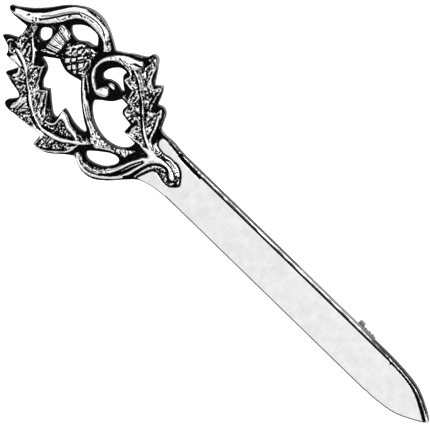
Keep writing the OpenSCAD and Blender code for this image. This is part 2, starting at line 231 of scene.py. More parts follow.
FACE_ROOT = [
    [112, 12.2, 1], [100, 12.3], [96, 13], [90, 13.5], [87.6, 13.2], [87.3, 10],
    [89, 5], [91, -1], [91, -10], [90.4, -19.4, 1], [97, -16.2], [103, -14.6],
    [112, -14.2, 1],
]
# Half of the blade's outline. Columns: along as hundredths of its length, across as hundredths
# of its half width.
BLADE = [[-2, 100], [80, 100], [85, 96], [88, 90.5], [90, 85], [92, 76], [94, 62.5], [96, 45],
         [98, 27], [100, 5]]

# The ornament is drawn as it looks from straight above the lying pin, in the same hundredths.
# Forms that stand higher look shifted across, because the pin leans. drawn() undoes that for the
# forms, and the fine marks are laid where they are seen.

# Outlines of the raised forms. Columns: along, across, and a 1 at a sharp corner.
TOP_LEAF = moved(TOP_LEAF_MOVE, [
    [0.9, 4.4], [2.4, 6.1], [4.5, 8.1], [6.8, 9.8], [9, 12.2], [10.6, 14.6],
    [12.2, 16.8], [13.8, 19.8], [15, 22.4], [16.2, 25.2], [17.6, 28.4],
    [19, 31.4], [20.6, 34.2], [22.4, 36.4], [24.4, 38.2], [27, 39.2],
    [30, 39.8], [33, 39.8], [36, 38.9], [38.6, 37.4], [40.6, 35.4],
    [42.2, 33.4], [43.8, 31.6], [45.2, 29.6, 1], [43.9, 27.8], [43.1, 25.4, 1],
    [42, 27.4], [41, 29], [40, 30.4], [38.6, 31.4], [36.4, 32.4], [33, 33],
    [30, 32.9], [27.4, 32.3], [25.6, 30.9], [24, 28.7], [22.5, 25.3],
    [21, 21.2], [19.5, 18.3], [18, 15.5], [16.4, 12.9], [15, 11.2],
    [13.6, 9.1], [12.2, 7.4], [10.8, 5.9], [9, 4.8], [6, 3.9], [3, 3.1],
    [1.4, 3.1],
])
TUFT = [
    [23.2, 20.5], [26, 19.6], [28.7, 18.2], [28.9, 14.5], [28.8, 12.8],
    [29, 9], [29.4, 7.8], [28.9, 5.2], [28.9, 3.8], [26.5, 2.1], [24, 0.5],
    [23.1, 2.5], [22.9, 6], [22.8, 9], [22.6, 13], [22.6, 15], [21.6, 17],
    [21.6, 19], [22.4, 20.3],
]
BULB = [
    [30.3, 13.6], [31.3, 16.8], [33.2, 20], [35, 22.4], [37, 23.6],
    [39.5, 23.9], [41.8, 23.6], [42.3, 21], [42.5, 18], [43.1, 15.4],
    [43.9, 12.6], [44.2, 10], [44.8, 8], [45.9, 5.6, 1], [44, 4], [42, 3.4],
    [40, 2.1], [38, 1.1], [36, 1.4], [34.4, 3], [33, 4.7], [31.5, 7.5],
    [30.4, 10.5],
]
SCROLL = moved(SCROLL_MOVE, [
    [60.2, 38.4], [58.6, 39.6, 1], [57, 38.1], [55, 36.8], [53, 35.4], [51, 33.7],
    [49.4, 31.8], [48, 30], [46.5, 27.9], [45.3, 25.3], [44.5, 22.5],
    [44.2, 19.5], [44.2, 16.8], [44.6, 13.8], [45.3, 11.4], [46.3, 9.2],
    [47.8, 7.1], [49.5, 5.2], [51, 3.9], [52.8, 2.9], [54.4, 2.9], [56, 3.8],
    [57.2, 5.2], [57.8, 7], [57.6, 8.9], [56.8, 10.2], [55.6, 11.3],
    [54.6, 11.2], [53.6, 10], [52.9, 8.4], [52.4, 6.4], [52, 5.6, 1],
    [51.4, 6.7], [50.4, 7.6], [49.3, 8.5], [48.3, 9.8], [47.3, 11.7],
    [46.4, 13.9], [46, 15.8], [46, 18], [46.3, 20.6], [47, 22.9], [48, 25],
    [49.4, 27], [51, 28.3], [53, 29.1], [55, 29.4], [57, 29.4], [58, 31],
    [60, 34.5],
])
SCROLL_LIP = [
    [54.1, 12.6], [54.8, 13.9], [56.2, 14.6], [57.8, 14], [58.2, 12.7],
    [57.2, 11.9], [55.6, 12],
]
WHITE_TOOTH = [
    [48, -22.2], [48.7, -21.7], [50, -21.7], [51.4, -22.4], [52.8, -23.6],
    [54.5, -24.8], [57, -25.5], [59, -25.6], [60, -26.4], [61, -27.6],
    [62.3, -28.2], [61.5, -29.3], [60, -29.4], [57, -28.7], [55, -28.6],
    [53.6, -27.9], [52, -26.5], [50.6, -26.2], [50, -26.9], [50.1, -28.6],
    [50, -30.4], [49.6, -32], [48.8, -33.2], [47.4, -34.3], [46, -34.4],
    [46, -33.7], [47.6, -33.1], [48.9, -31.6], [49.4, -30], [49.2, -28],
    [48.8, -26], [48.5, -24],
]
LEAF_HUB = [
    [62, -28.3], [63.3, -26.9], [64.2, -25], [64.1, -23.4], [65, -23.3],
    [65.7, -24.5], [67.2, -23.9], [66.2, -26], [64.8, -28.2], [63.6, -30.4],
    [62.6, -31.6], [61.6, -30.4],
]
LOWER_EDGE = [
    [16.6, -15.6], [18.5, -16.6], [20.5, -17.6], [22.2, -18.6], [21.4, -20],
    [20.2, -20.1], [15.4, -20.3], [15.2, -18.6],
]
LOBE_EDGE = [
    [44, -41.2], [46, -41], [48, -40.6], [49.6, -41.2], [49.8, -43.6],
    [48.8, -44.4], [46, -44], [43, -44.2],
]
RIGHT_BLOB = [
    [75.6, 18.8], [77, 20], [77.7, 20.6], [77.9, 18.4], [78, 16.2], [77, 15.4],
    [75.7, 16.4], [75.4, 17.6],
]
JUNCTION = moved(TAIL_MOVE, [
    [82.6, -0.9], [84.6, 0.2], [86.4, 1.2], [88.6, 0.9], [91, 0.7],
    [93, 1.5], [95.4, 1.9], [98, 1.8], [100, 1.4], [101.6, 0.3],
    [102.9, -1.2], [103.7, -2.2], [103.1, -3.6], [102, -3.9], [101, -3],
    [100, -1.6], [99, -0.4], [97.4, 0.1], [95.6, -0.3], [94, -1.3],
    [92.8, -2.8], [91.6, -5], [90.9, -7.2], [90.2, -10.6], [89.6, -14],
    [88.6, -19], [87.4, -22.8], [85.6, -26], [84.8, -26.6], [85.9, -23],
    [87, -18.4], [87.8, -14], [88.6, -10.2], [88.9, -8.2], [88.4, -7.9],
    [87.8, -9.4], [86.8, -12], [85.8, -15], [85, -18.4], [84.2, -21.6],
    [83.2, -25], [82.3, -27.6], [81.2, -29.8], [79.6, -30.4], [79.4, -28.6],
    [81, -26], [82.2, -22.6], [83, -18.6], [83.9, -15], [85, -11.6],
    [86.2, -8.4], [87, -6], [88.7, -3.1], [86.6, -2.5], [83.4, -2.1],
])
TAIL = moved(TAIL_MOVE, [
    [86.4, 11], [87, 8.9], [88, 7.3], [89, 6.3], [90.2, 5.7], [93, 5.4],
    [95, 6.1], [97.5, 6.5], [100, 6.6], [102, 5.5], [104, 3.5], [105.6, 0.9],
    [106.8, -1.6], [107.5, -2.9, 1], [106.3, -5], [105, -7], [103, -8.2],
    [100, -8], [97.5, -6.9], [95, -6.9], [93.6, -8.7], [92.6, -12],
    [91.6, -16], [91, -19.8, 1], [90, -19], [89.4, -10], [88.4, -4], [86.8, 0],
    [86.6, 4], [86.6, 8],
])
# Fields of fine strokes. Columns as above.
LEFT_FIELD_HEAD = [
    [12.4, 8], [15, 7.6], [15.6, 3.4], [18, -0.6], [21.6, -5.4], [25.2, -12],
    [25.6, -19.4], [21, -16.4], [15, -13.4], [12.6, -9.6], [12.2, -4],
    [12.2, 2.6],
]
LEFT_FIELD_SPUR = [
    [25.4, -13.6], [27.6, -11], [28.8, -10.4], [31.4, -19], [33, -21],
    [35.4, -23], [37, -20.2], [40, -26.6], [43.4, -31.4], [46, -34.6],
    [46, -38], [41, -36.6], [35, -30.6], [29, -24.4], [25, -18.6],
]
LEFT_FIELD_LOW = [
    [21.8, -20], [25, -20.6], [28.8, -25.6], [34, -32.4], [40.4, -38.6],
    [44.6, -40.8], [43.6, -44], [36, -45.2], [30.6, -44.4], [31, -40],
    [30.4, -34.4], [26, -31.2], [21.4, -29.6], [22.8, -25],
]
LEFT_FIELD_TRIANGLE = [
    [50.4, -26.6], [52, -26.8], [54.6, -28.8], [60.4, -29.6], [56.4, -33.4],
    [51.6, -36.4], [46.4, -37.8], [46, -35], [49, -33.8], [50.4, -31],
]
LEFT_FIELD_LOBE = [
    [49.8, -41], [53, -39.6], [56.6, -38.2], [59.4, -35.6], [62.4, -33],
    [62, -37.4], [58.6, -43.4], [54, -49], [50.4, -50.4], [49.4, -49.6],
    [49.6, -45],
]
RIGHT_FIELD_TIP = [
    [61.6, 47.2], [63.4, 45.4], [64.8, 41], [65.6, 36.6], [67, 33],
    [68.4, 30.8], [70.4, 31], [72, 34.6], [73, 31], [73.6, 26], [74.6, 21],
    [72.2, 17.6], [69.4, 21], [64, 28.6], [58, 32.2], [54.6, 33],
    [57, 35.8], [60.4, 37.6], [61, 41], [60.2, 45],
]
RIGHT_FIELD_INNER = [
    [59, 27.6], [60, 29.2], [63, 27], [66, 23.4], [69, 20], [71.6, 16],
    [75, 11], [79, 5.6], [83, 1.8], [85, 0.2], [80, -1.2], [75.6, -2],
    [75.6, 5.2], [68.2, 6], [67.6, 13.4], [65.4, 14.6], [65, 18], [64.2, 21.6],
    [59.4, 22.2],
]
RIGHT_FIELD_OUTER = [
    [74, 16.4], [76, 19.4], [77.8, 20.8], [79, 23.6], [80.4, 19.4],
    [82, 14.4], [83.6, 8], [85, 4.4], [83, 3.6], [79, 8], [76, 12.4],
]
NECK_FIELD = [
    [12.3, 7.6], [15.2, 7.4], [15.6, 3], [16.4, -1], [15, -8], [12.4, -8.6],
    [12.4, -2],
]
LEAF_END_FIELD = [
    [42.4, -25.6], [45.6, -27.6], [48, -30.6], [46.2, -33], [43.6, -31.4],
    [41.4, -28],
]
TOP_LEAF_END = moved(TOP_LEAF_MOVE, [
    [37.4, 37.6], [39.6, 36.4], [42.2, 33.6], [44.4, 31.4], [44.8, 29.8],
    [43.4, 27.6], [42.6, 28.2], [41.4, 30], [40.6, 32], [39.4, 34],
    [37.8, 35.8],
])
TAIL_HATCH = [
    [88.4, 4.6], [90.4, 4.6], [93, 4.4], [96, 5], [99, 5.4], [101.4, 4.4],
    [103, 3], [102.4, 1.6], [100, 2.4], [96.6, 2.6], [93, 2.6], [90.4, 1.6],
    [88.4, 2.4],
]
HATCHED_BAND = [
    [60, -12.6], [63, -14.4], [66, -15.2], [70, -16.6], [73, -14.6],
    [75, -14.2], [77, -12], [79.6, -10.6], [81, -9.2], [82.6, -6.6],
    [83.2, -7.4], [81.8, -11.6], [81.4, -14.8], [78.6, -15.6], [76.4, -16.8],
    [74.4, -18], [71.6, -21], [69.4, -24], [67.4, -24], [65.2, -22],
    [64, -19.6], [61.4, -16.8],
]
LOOP_FLECKS = [
    [65.2, -34], [66.8, -33.4], [69.6, -35.8], [73, -35.6], [76, -34],
    [78.4, -31], [80, -29], [81, -29.6], [79.2, -33], [76, -35.8],
    [72, -37.4], [69, -37.2], [66, -37],
]
TAIL_FLECKS = [
    [93.6, -4.2], [96, -2.2], [98, -2], [99.6, -3.4], [101.4, -5.4],
    [103.4, -5.6], [104.6, -4.2], [105.4, -5], [103.6, -7.6], [101, -7.6],
    [98, -6.6], [95.6, -6.4], [93.2, -7.6], [92, -11.6], [91.4, -15.6],
    [91, -17], [91.6, -10.6], [92.4, -7],
]

# Raised lines. Each row: half width in hundredths of the head's width, crest in hundredths of
# the relief, and the places, along and across, that it runs through.
LEFT_RIBS = [
    (1.0, 120, [(15, -12.9), (17, -13.6), (19, -14.5), (21, -15.7), (23, -17.4), (24.5, -19)]),
    (0.5, 120, [(24.5, -19), (26, -20.8), (27.5, -22.8), (29, -24.6), (31, -26.7), (33, -28.9)]),
    (0.6, 100, [(48.5, -22.8), (48.9, -25), (49.3, -27.4), (49.5, -29.6), (49.2, -31.6),
                (48.2, -33.2), (47, -34), (45.8, -34.3)]),
    (0.42, 82, [(35.4, -23.4), (36.4, -25.8), (37.8, -28.2), (39.4, -31.2)]),
    (0.38, 80, [(36.7, -23.4), (37.8, -26), (39.2, -28.8), (40.4, -31.6)]),
    (0.36, 80, [(34.4, -25), (35.4, -27.6), (36.8, -29.8)]),
    (1.0, 130, [(33, -29.2), (35, -31.6), (37, -33.9), (39, -35.8), (41, -37.3), (43, -38.4),
                 (45, -39.3), (47, -39.5), (49, -39)]),
    (1.3, 130, [(49, -39), (51, -38.4), (53, -37.8), (55, -36.8), (57, -35.2), (58.5, -33.7),
                (60, -32), (61.5, -30.3), (63, -28.5), (64.5, -26.5)]),
    (0.5, 100, [(15.2, 2), (16.2, 0.3), (17.3, -1.2), (18.5, -2.8)]),
    (0.85, 105, [(18.3, -2.6), (19.6, -4.2), (20.8, -5.6), (21.8, -7.3), (22.7, -9),
                 (23.6, -10.8), (24.4, -12.5), (25.2, -14.5)]),
    (0.8, 100, [(20.3, -4.4), (21.4, -4.6)]),
    (0.8, 105, [(28.6, -8), (28.7, -8.4)]),
    (0.4, 100, [(28.6, -8.4), (28.4, -10.2)]),
    (0.45, 100, [(28.4, -10.2), (27.2, -11.2), (26.2, -12.3), (25.7, -13.8)]),
    (0.4, 100, [(28.6, -10.4), (29.3, -12.4), (30, -14.6), (30.8, -16.8), (31.4, -18.7),
                (32, -20.4), (33.2, -21.2), (34.3, -22.4)]),
    (0.45, 95, [(37, -18.8), (36.3, -20), (35.3, -21.4), (34.7, -22.6)]),
    (0.45, 95, [(37.1, -19.3), (38, -21.2), (39, -23.2), (40, -25.2), (41, -27), (41.8, -28.6)]),
    (0.75, 95, [(41.8, -28.6), (42.7, -30.2), (43.8, -31.6)]),
    (0.55, 100, [(40.3, -39.7), (41.5, -40.4), (43, -41.2), (44.6, -42)]),
    (0.5, 85, [(48.3, -43.2), (49.2, -44.3), (49.4, -46), (49.3, -48), (49.4, -49.4),
               (50, -50.2), (51, -50.4), (52.3, -50.2), (53.6, -49.2), (55, -47.9), (56.5, -46),
               (58, -43.9), (59.5, -41.9), (61, -39.7), (62, -37.6)]),
    (0.5, 95, [(59.3, -37.3), (60.6, -36.2), (61.6, -35), (62.3, -33.5), (63, -31.6)]),
    (0.45, 90, [(57.3, -37.2), (58.6, -35.9), (59.8, -34.9)]),
    (0.6, 85, [(62.7, -32.6), (62.5, -35), (62, -37.2)]),
    (0.75, 90, [(21.6, -20.8), (22.3, -22.4), (22.8, -24.2), (22.4, -26), (21.8, -27.5)]),
    (0.42, 80, [(20.4, -29.2), (21.6, -29.2), (22.8, -28.8), (23.6, -28), (24.8, -27),
                (26, -26.2), (27.4, -25.4)]),
    (0.42, 60, [(9.6, -13.6), (9.7, -12.2), (10.2, -11.2), (11, -10.6)]),
    (0.42, 70, [(11.1, -12.6), (11.7, -14), (12.5, -15.4), (13.4, -16.7), (14.1, -17.3),
                (14.5, -16.7), (15.3, -16.3), (16.3, -16.3), (16.8, -15.6)]),
    (0.4, 75, [(12.5, -10.2), (13.5, -9.7), (14.8, -9.8)]),
    (0.45, 75, [(13.3, -6.8), (14, -8), (14.9, -9.2)]),
    (0.85, 85, [(31, -34.4), (31.5, -36.5), (31.7, -39), (31.3, -41.4), (30.8, -42.6)]),
    (0.45, 80, [(33, -35), (32.8, -38.5), (32.7, -42.4)]),
    (0.35, 80, [(34.2, -37.6), (34.1, -42)]),
]
RIGHT_RIBS = [
    (0.42, 125, [(56.8, 32.8), (58.5, 31.7), (60.3, 30.6), (62, 29.6), (63.5, 28.3), (65, 26.7),
                (66.5, 24.8), (68, 23), (69.5, 21.5), (70.8, 20.1), (72, 18.2)]),
    (0.52, 130, [(72, 18.2), (73.3, 16.1), (74.6, 14.2), (76, 12.3), (77.5, 10.3), (79, 8.1)]),
    (0.85, 135, [(79, 8.1), (80.5, 6.3), (82, 4.8), (83.7, 3.4), (85.5, 2.2), (87.5, 1.1)]),
    (0.35, 110, [(60.5, 32.3), (62.5, 31.2), (64.5, 29.7), (66, 27.9), (67.5, 25.8),
                 (69, 24.1), (70.5, 22.4), (71.8, 20.6)]),
    (0.4, 95, [(61, 47), (62.4, 46.9), (63.5, 45.3), (64.3, 43.2), (64.8, 41.2)]),
    (0.35, 90, [(64.9, 40), (65.2, 38), (66, 35.8), (67, 33.8), (68.2, 32.2), (69.4, 31.6)]),
    (0.45, 95, [(65.4, 36.4), (66.4, 34.2), (67.3, 32.2), (68.2, 30.8), (69.4, 30.5),
                (70.3, 31)]),
    (0.45, 90, [(70.6, 32), (71.4, 33.6), (72, 35.4), (72.5, 34.2), (72.9, 32), (73.1, 30.4)]),
    (0.4, 90, [(73.2, 28.9), (73.6, 26.9), (73.9, 25.1)]),
    (0.5, 90, [(74.3, 22.9), (74.8, 21.3), (75.4, 19.9)]),
    (0.5, 95, [(78.8, 24.3), (79.8, 22.5), (80.9, 20.5)]),
    (0.4, 90, [(78.6, 23.6), (78.6, 21)]),
    (0.62, 105, [(79.7, 21), (80.5, 18.8), (81.5, 16), (82.4, 13.2), (83, 10.6), (83.5, 8),
                 (84.1, 6.2), (84.9, 4.9), (86, 3.6), (87.6, 2.5)]),
    (0.6, 95, [(54.6, 29.4), (57, 29.2), (58.3, 28.3), (59.1, 27), (59, 25), (58.6, 23.4),
               (58.9, 22.5)]),
    (0.6, 90, [(58.6, 22.5), (60.4, 22), (62, 21.7), (63.4, 21.5)]),
    (0.5, 85, [(64.3, 20.6), (64.5, 19), (64.8, 17.5), (65, 15.9)]),
    (0.5, 80, [(62.8, 13.9), (64.8, 13.8)]),
    (0.45, 80, [(65.7, 13.6), (67.2, 13.5)]),
    (0.5, 85, [(68.5, 13.4), (69.4, 13), (69.8, 11.6), (69.6, 10)]),
    (0.45, 80, [(68, 9), (68.2, 7.5), (68.9, 6.6), (69.8, 6.3), (70.4, 6.8)]),
    (0.4, 80, [(70.6, 14), (71.3, 13), (71.4, 11.2), (71, 10)]),
    (0.7, 90, [(75.8, 5.6), (75.7, 4), (75.6, 2)]),
    (0.4, 85, [(75.6, 2), (75.8, 0), (76, -1.4)]),
    (0.6, 100, [(75.4, -2), (77, -1.9), (79, -1.7), (81, -1.1), (83, -0.8), (85, -1.2)]),
]
TOP_LEAF_LINE = moved_lines(TOP_LEAF_MOVE, [
    (0.42, 72, [(24.2, 39.2), (26, 40.1), (28, 40.7), (30, 41), (33, 40.9), (35, 40.5),
                (37, 39.7), (39, 38.7), (40.6, 37.4)]),
])
STALK_RIBS = [
    (0.4, 85, [(44.6, 7.4), (45.5, 6.2), (47, 4.3), (48.5, 2.6), (49.8, 1), (50.6, -0.2)]),
    (0.75, 110, [(45, 4), (46.2, 1.8), (47.5, -0.2), (48.4, -1.9), (49.6, -3.2), (50.6, -4.8),
                 (51.8, -6.3), (52.7, -8), (54.2, -9.8)]),
    (0.6, 112, [(48.6, -1.2), (49.8, -2.4), (51, -4.2), (52.6, -6), (54.4, -8.4)]),
    (0.5, 110, [(54.2, -9.8), (55.7, -11.5), (57.2, -12.9), (58.6, -14.2), (60, -15.4),
                (61.6, -16.6), (63.2, -17.7)]),
    (0.42, 112, [(54.4, -8.4), (56.5, -10.7), (58.5, -12.6), (60.2, -13.6), (62, -14.8),
                 (64, -15.9)]),
    (0.32, 95, [(52.6, -4.8), (54.4, -7), (56.2, -9.2), (58.2, -11.2), (60.2, -12.5),
                (62.4, -13.7), (65, -14.9)]),
    (0.5, 100, [(69, -23.4), (70.6, -21.8), (72, -20.4), (73.6, -18.8), (75.2, -17.4),
                (76.4, -16.8)]),
]
LOOP_RIBS = [
    (0.9, 80, [(86.4, -25.6), (84.6, -29), (82, -32.8), (79.4, -36), (76.4, -38.6),
               (73, -39.8), (69.8, -39.4), (66.8, -37.6)]),
    (0.3, 95, [(88.3, -9.6), (87.2, -13), (86.2, -16.4), (85.6, -19), (84.7, -22.6)]),
    (0.3, 80, [(80.4, -30.8), (78.4, -33.4), (76, -35.2), (72.6, -36.6), (69.6, -36.9)]),
    (0.3, 95, [(92.2, -8.6), (91.6, -12), (91, -15.6), (90.5, -19)]),
    (0.3, 140, [(103, -0.6), (103.6, -2.4), (103, -3.8)]),
    (0.35, 140, [(104.2, 0.8), (104.6, -0.8), (104.3, -2.4)]),
]

# Dark lines cut into what lies below them. Each row: half width, the level they are cut in,
# how black they are in hundredths, and their places.
TOP_LEAF_CUTS = moved_lines(TOP_LEAF_MOVE, [
    (1.0, 95, 100, [(0.6, 4.2), (1.6, 4.8), (2.2, 5)]),
    (0.62, 105, 100, [(13, 12.4), (13.7, 13.5), (14.6, 15), (15.6, 17), (16.6, 19.1),
                      (17.6, 21.4), (18.6, 23.6), (19.6, 26), (20.8, 28.4), (22, 30.6),
                      (23, 32.3), (24, 33.4), (25.4, 33.5)]),
    (0.3, 105, 55, [(12.6, 14.8), (14, 17), (15.5, 19.4), (16.5, 21.3), (17.3, 23.5), (18, 25),
                    (19, 27.2), (20.3, 29.8), (21.6, 31.8), (23, 33.7), (24.5, 35.2)]),
    (0.42, 105, 95, [(24.5, 35.2), (26, 36), (28, 36.9), (30, 37.5), (32, 37.8), (34, 37.5),
                     (35.5, 37), (37, 36), (38.2, 34.8)]),
    (0.3, 105, 60, [(38.2, 34.8), (39.2, 33.6), (40.4, 32.4)]),
    (0.4, 105, 80, [(29, 35.4), (29.8, 35.6), (30.7, 35.8)]),
    (0.3, 105, 35, [(31.2, 35.9), (32.8, 35.8)]),
    (0.28, 105, 60, [(33.4, 35.6), (34.8, 35.4), (36.2, 35.1)]),
    (0.25, 105, 50, [(36.6, 34.8), (37.8, 34.2)]),
    (0.35, 105, 80, [(18.3, 20.9), (19.9, 21.1)]),
    (0.35, 105, 80, [(20.8, 25), (20.6, 23.8), (20.2, 22.6)]),
    (0.5, 105, 95, [(21.6, 28.8), (21.7, 26.9)]),
    (0.3, 105, 70, [(42.4, 30.8), (44.4, 29.4)]),
    (0.25, 105, 45, [(40.6, 34), (42, 32)]),
    (0.25, 105, 40, [(41.4, 31.2), (42.6, 29.4)]),
])
TOP_LEAF_PITS = moved(TOP_LEAF_MOVE, [
    (8.3, 9.9, 0.7, 90), (7.8, 8.8, 0.5, 80), (11.2, 8.6, 0.75, 100), (12.3, 8.6, 0.6, 95),
    (12.2, 10.3, 0.5, 95), (11.7, 11.3, 0.75, 100), (13.3, 12.6, 0.9, 100), (10.4, 10.1, 0.6, 55),
    (16.3, 15.4, 0.4, 75), (22.8, 28.5, 0.5, 55), (23.4, 34.2, 0.5, 50), (28, 35.3, 0.5, 90),
    (26.7, 34.5, 0.65, 100), (25.5, 33.4, 0.55, 100), (19.2, 19.4, 0.3, 35), (9.4, 9, 0.3, 30),
    (42.6, 34.8, 0.5, 80), (43.4, 32.6, 0.5, 80), (40.5, 35.6, 0.6, 70), (41.6, 33.4, 0.6, 25),
])
TUFT_CUTS = [
    (0.42, 85, 100, [(22.6, 15.8), (25, 15.1), (28.6, 14.2)]),
    (0.42, 85, 100, [(22.9, 14.2), (25.5, 13.5), (28.8, 13)]),
    (0.28, 85, 65, [(23.2, 12.3), (25.6, 12), (28.4, 11.8)]),
    (0.34, 85, 75, [(23.4, 10.7), (26, 10.6), (28.8, 10.6)]),
    (0.3, 85, 65, [(23.2, 9.1), (26, 9.3), (28.4, 9.6)]),
    (0.26, 85, 50, [(23.4, 7.4), (26, 7.7), (28, 8.2)]),
    (0.28, 85, 45, [(23.3, 6), (25.2, 6.4), (26.4, 7)]),
    (0.45, 85, 100, [(23.4, 4.7), (25.4, 5.3), (27, 6.1), (28.4, 7)]),
    (0.3, 85, 60, [(23.5, 3), (25.2, 3.5), (27, 4.4), (28.6, 5.4)]),
    (0.52, 85, 100, [(23.2, 0.9), (25, 1.8), (27, 2.8), (29.2, 4)]),
    (0.36, 85, 85, [(22.3, 18.2), (23, 18.9), (24, 18.6), (24.5, 17.6)]),
    (0.4, 85, 90, [(22.4, 17.2), (23.2, 17.1)]),
    (0.3, 85, 70, [(25.6, 19.2), (26.8, 18.4), (27, 17.4)]),
    (0.4, 85, 90, [(27.4, 16.8), (28.6, 16.6)]),
    (0.4, 85, 90, [(27.9, 18.2), (28.6, 17.8)]),
    (0.26, 85, 55, [(23.4, 16.8), (25, 16.2), (26.4, 15.8)]),
]
BULB_CUTS = [
    (0.42, 100, 90, [(42.6, 13.8), (43.1, 11.4), (43, 9.4), (42.6, 8.2)]),
    (0.35, 100, 75, [(43.4, 15.2), (44, 12.4), (44, 10)]),
    (0.5, 100, 95, [(43.1, 7.4), (43.2, 6.4)]),
    (0.4, 100, 85, [(43.8, 8.6), (44.6, 7.2)]),
    (0.4, 110, 80, [(41.2, 18), (41.4, 16.9), (41, 16.4)]),
]
SCROLL_CUTS = moved_lines(SCROLL_MOVE, [
    (0.42, 140, 85, [(50.2, 30.9), (51.4, 31), (52.2, 30.5), (54, 30.5), (55.8, 30.6)]),
    (0.35, 140, 60, [(52.2, 31.8), (54.4, 32.1)]),
    (0.35, 140, 60, [(55.2, 33.2), (56.4, 34.8), (58.2, 35.6), (59.6, 36.2)]),
])
SCROLL_PITS = moved(SCROLL_MOVE, [
    (47.2, 26.8, 0.55, 60), (48.6, 28.6, 0.6, 15), (54.8, 10.4, 0.5, 85), (53.5, 7.4, 0.6, 40),
    (50.2, 6.4, 0.7, 45), (51.2, 7, 0.4, 60), (56.6, 30.2, 0.4, 70), (55.6, 33.4, 0.4, 60),
])
LEFT_CUTS = [
    (0.42, 90, 100, [(15.2, -14), (17, -15.2), (19, -16.2), (21, -17.3), (22.6, -18.4),
                     (24, -19.7), (25.2, -20.9), (26.5, -22.4), (27.7, -24), (28.8, -25.6)]),
    (0.5, 80, 100, [(28.8, -25.6), (30, -27.6), (32, -30.3), (34, -32.6), (36, -34.9),
                    (38, -36.9), (40, -38.6), (42, -39.9), (44, -40.6), (46, -41)]),
    (0.62, 80, 100, [(44, -36.3), (45.5, -37.4), (47.3, -37.6), (49, -37.1), (51, -36.2),
                     (53, -35.3), (55, -34.1), (57, -32.4), (59, -30.4)]),
    (0.62, 70, 100, [(16, -3.8), (16.2, -6), (16.6, -8.5), (17.1, -11.3)]),
    (0.62, 70, 100, [(18.2, -5.8), (18.6, -7.8), (19.2, -10), (19.4, -12.3)]),
    (0.65, 70, 100, [(16.2, -0.3), (16.1, -2.4)]),
    (0.5, 70, 100, [(17, -2.6), (17.2, -3.9)]),
    (0.5, 70, 90, [(14.6, -4.3), (14.7, -7.3)]),
    (0.5, 70, 90, [(14.4, 1), (14.6, -1)]),
    (0.45, 80, 100, [(17.3, -2.7), (18.4, -4.3), (19.6, -5.9), (20.6, -7.5), (21.5, -9.3),
                     (22.4, -11.3), (23.2, -13.3)]),
    (0.7, 70, 100, [(28.4, -11.4), (28.4, -13.6)]),
    (0.55, 70, 100, [(30.3, -15.6), (30.6, -18), (31.1, -20.2)]),
    (0.55, 70, 100, [(26.9, -12.8), (26.6, -15), (27, -17.5), (26.8, -18.6)]),
    (0.55, 70, 100, [(37.4, -20.8), (38.5, -23.4), (39.5, -25.6), (40.5, -28), (41, -30.6)]),
    (0.6, 70, 90, [(35.2, -25.4), (36, -27.8)]),
    (0.5, 70, 90, [(36.2, -22), (36.6, -24.4)]),
    (0.4, 70, 90, [(57.3, -36.6), (58.3, -36), (59.5, -34.9), (60.5, -33.8), (61.5, -32.2)]),
    (0.45, 70, 100, [(61, -34.2), (60.3, -35.5)]),
    (0.4, 80, 95, [(60.4, -26.9), (62.4, -27.2), (63.6, -26.9)]),
    (0.55, 70, 100, [(49.8, -45.2), (49.6, -47.6), (49.8, -49.4), (50.8, -49.9), (52, -49.4),
                     (53.5, -48.2), (55, -46.6), (57, -44.1), (59, -41.5), (60.5, -39.6)]),
    (0.4, 70, 90, [(50.4, -40.6), (50.5, -43)]),
    (0.4, 70, 90, [(51.5, -40.2), (51.6, -43.6)]),
    (0.4, 70, 90, [(52.7, -39.8), (52.8, -44.6)]),
    (0.4, 70, 90, [(32.3, -35.5), (32.3, -42)]),
    (0.35, 70, 90, [(33.5, -36), (33.5, -42.6)]),
    (0.6, 60, 100, [(25.4, -28.2), (26.6, -27), (28, -25.8)]),
    (0.5, 60, 100, [(20.3, -28.4), (22, -28.3), (23, -27.5)]),
]
LEFT_PITS = [
    (20.6, -10.5, 0.6, 95), (21.6, -11, 0.55, 95), (22.6, -12.4, 0.6, 100), (20.7, -12.2, 0.5, 90),
    (21.7, -14, 0.6, 95), (24.2, -12.8, 0.75, 100), (24.2, -14.5, 0.65, 100), (23.4, -15.2, 0.4, 60),
    (19.8, -8.4, 0.4, 80), (51, -28, 0.5, 95), (53, -30.4, 0.6, 95), (57.3, -40, 0.55, 95),
    (58.8, -38, 0.5, 90), (60.4, -38.5, 0.6, 90), (48.4, -22.6, 0.5, 30),
]
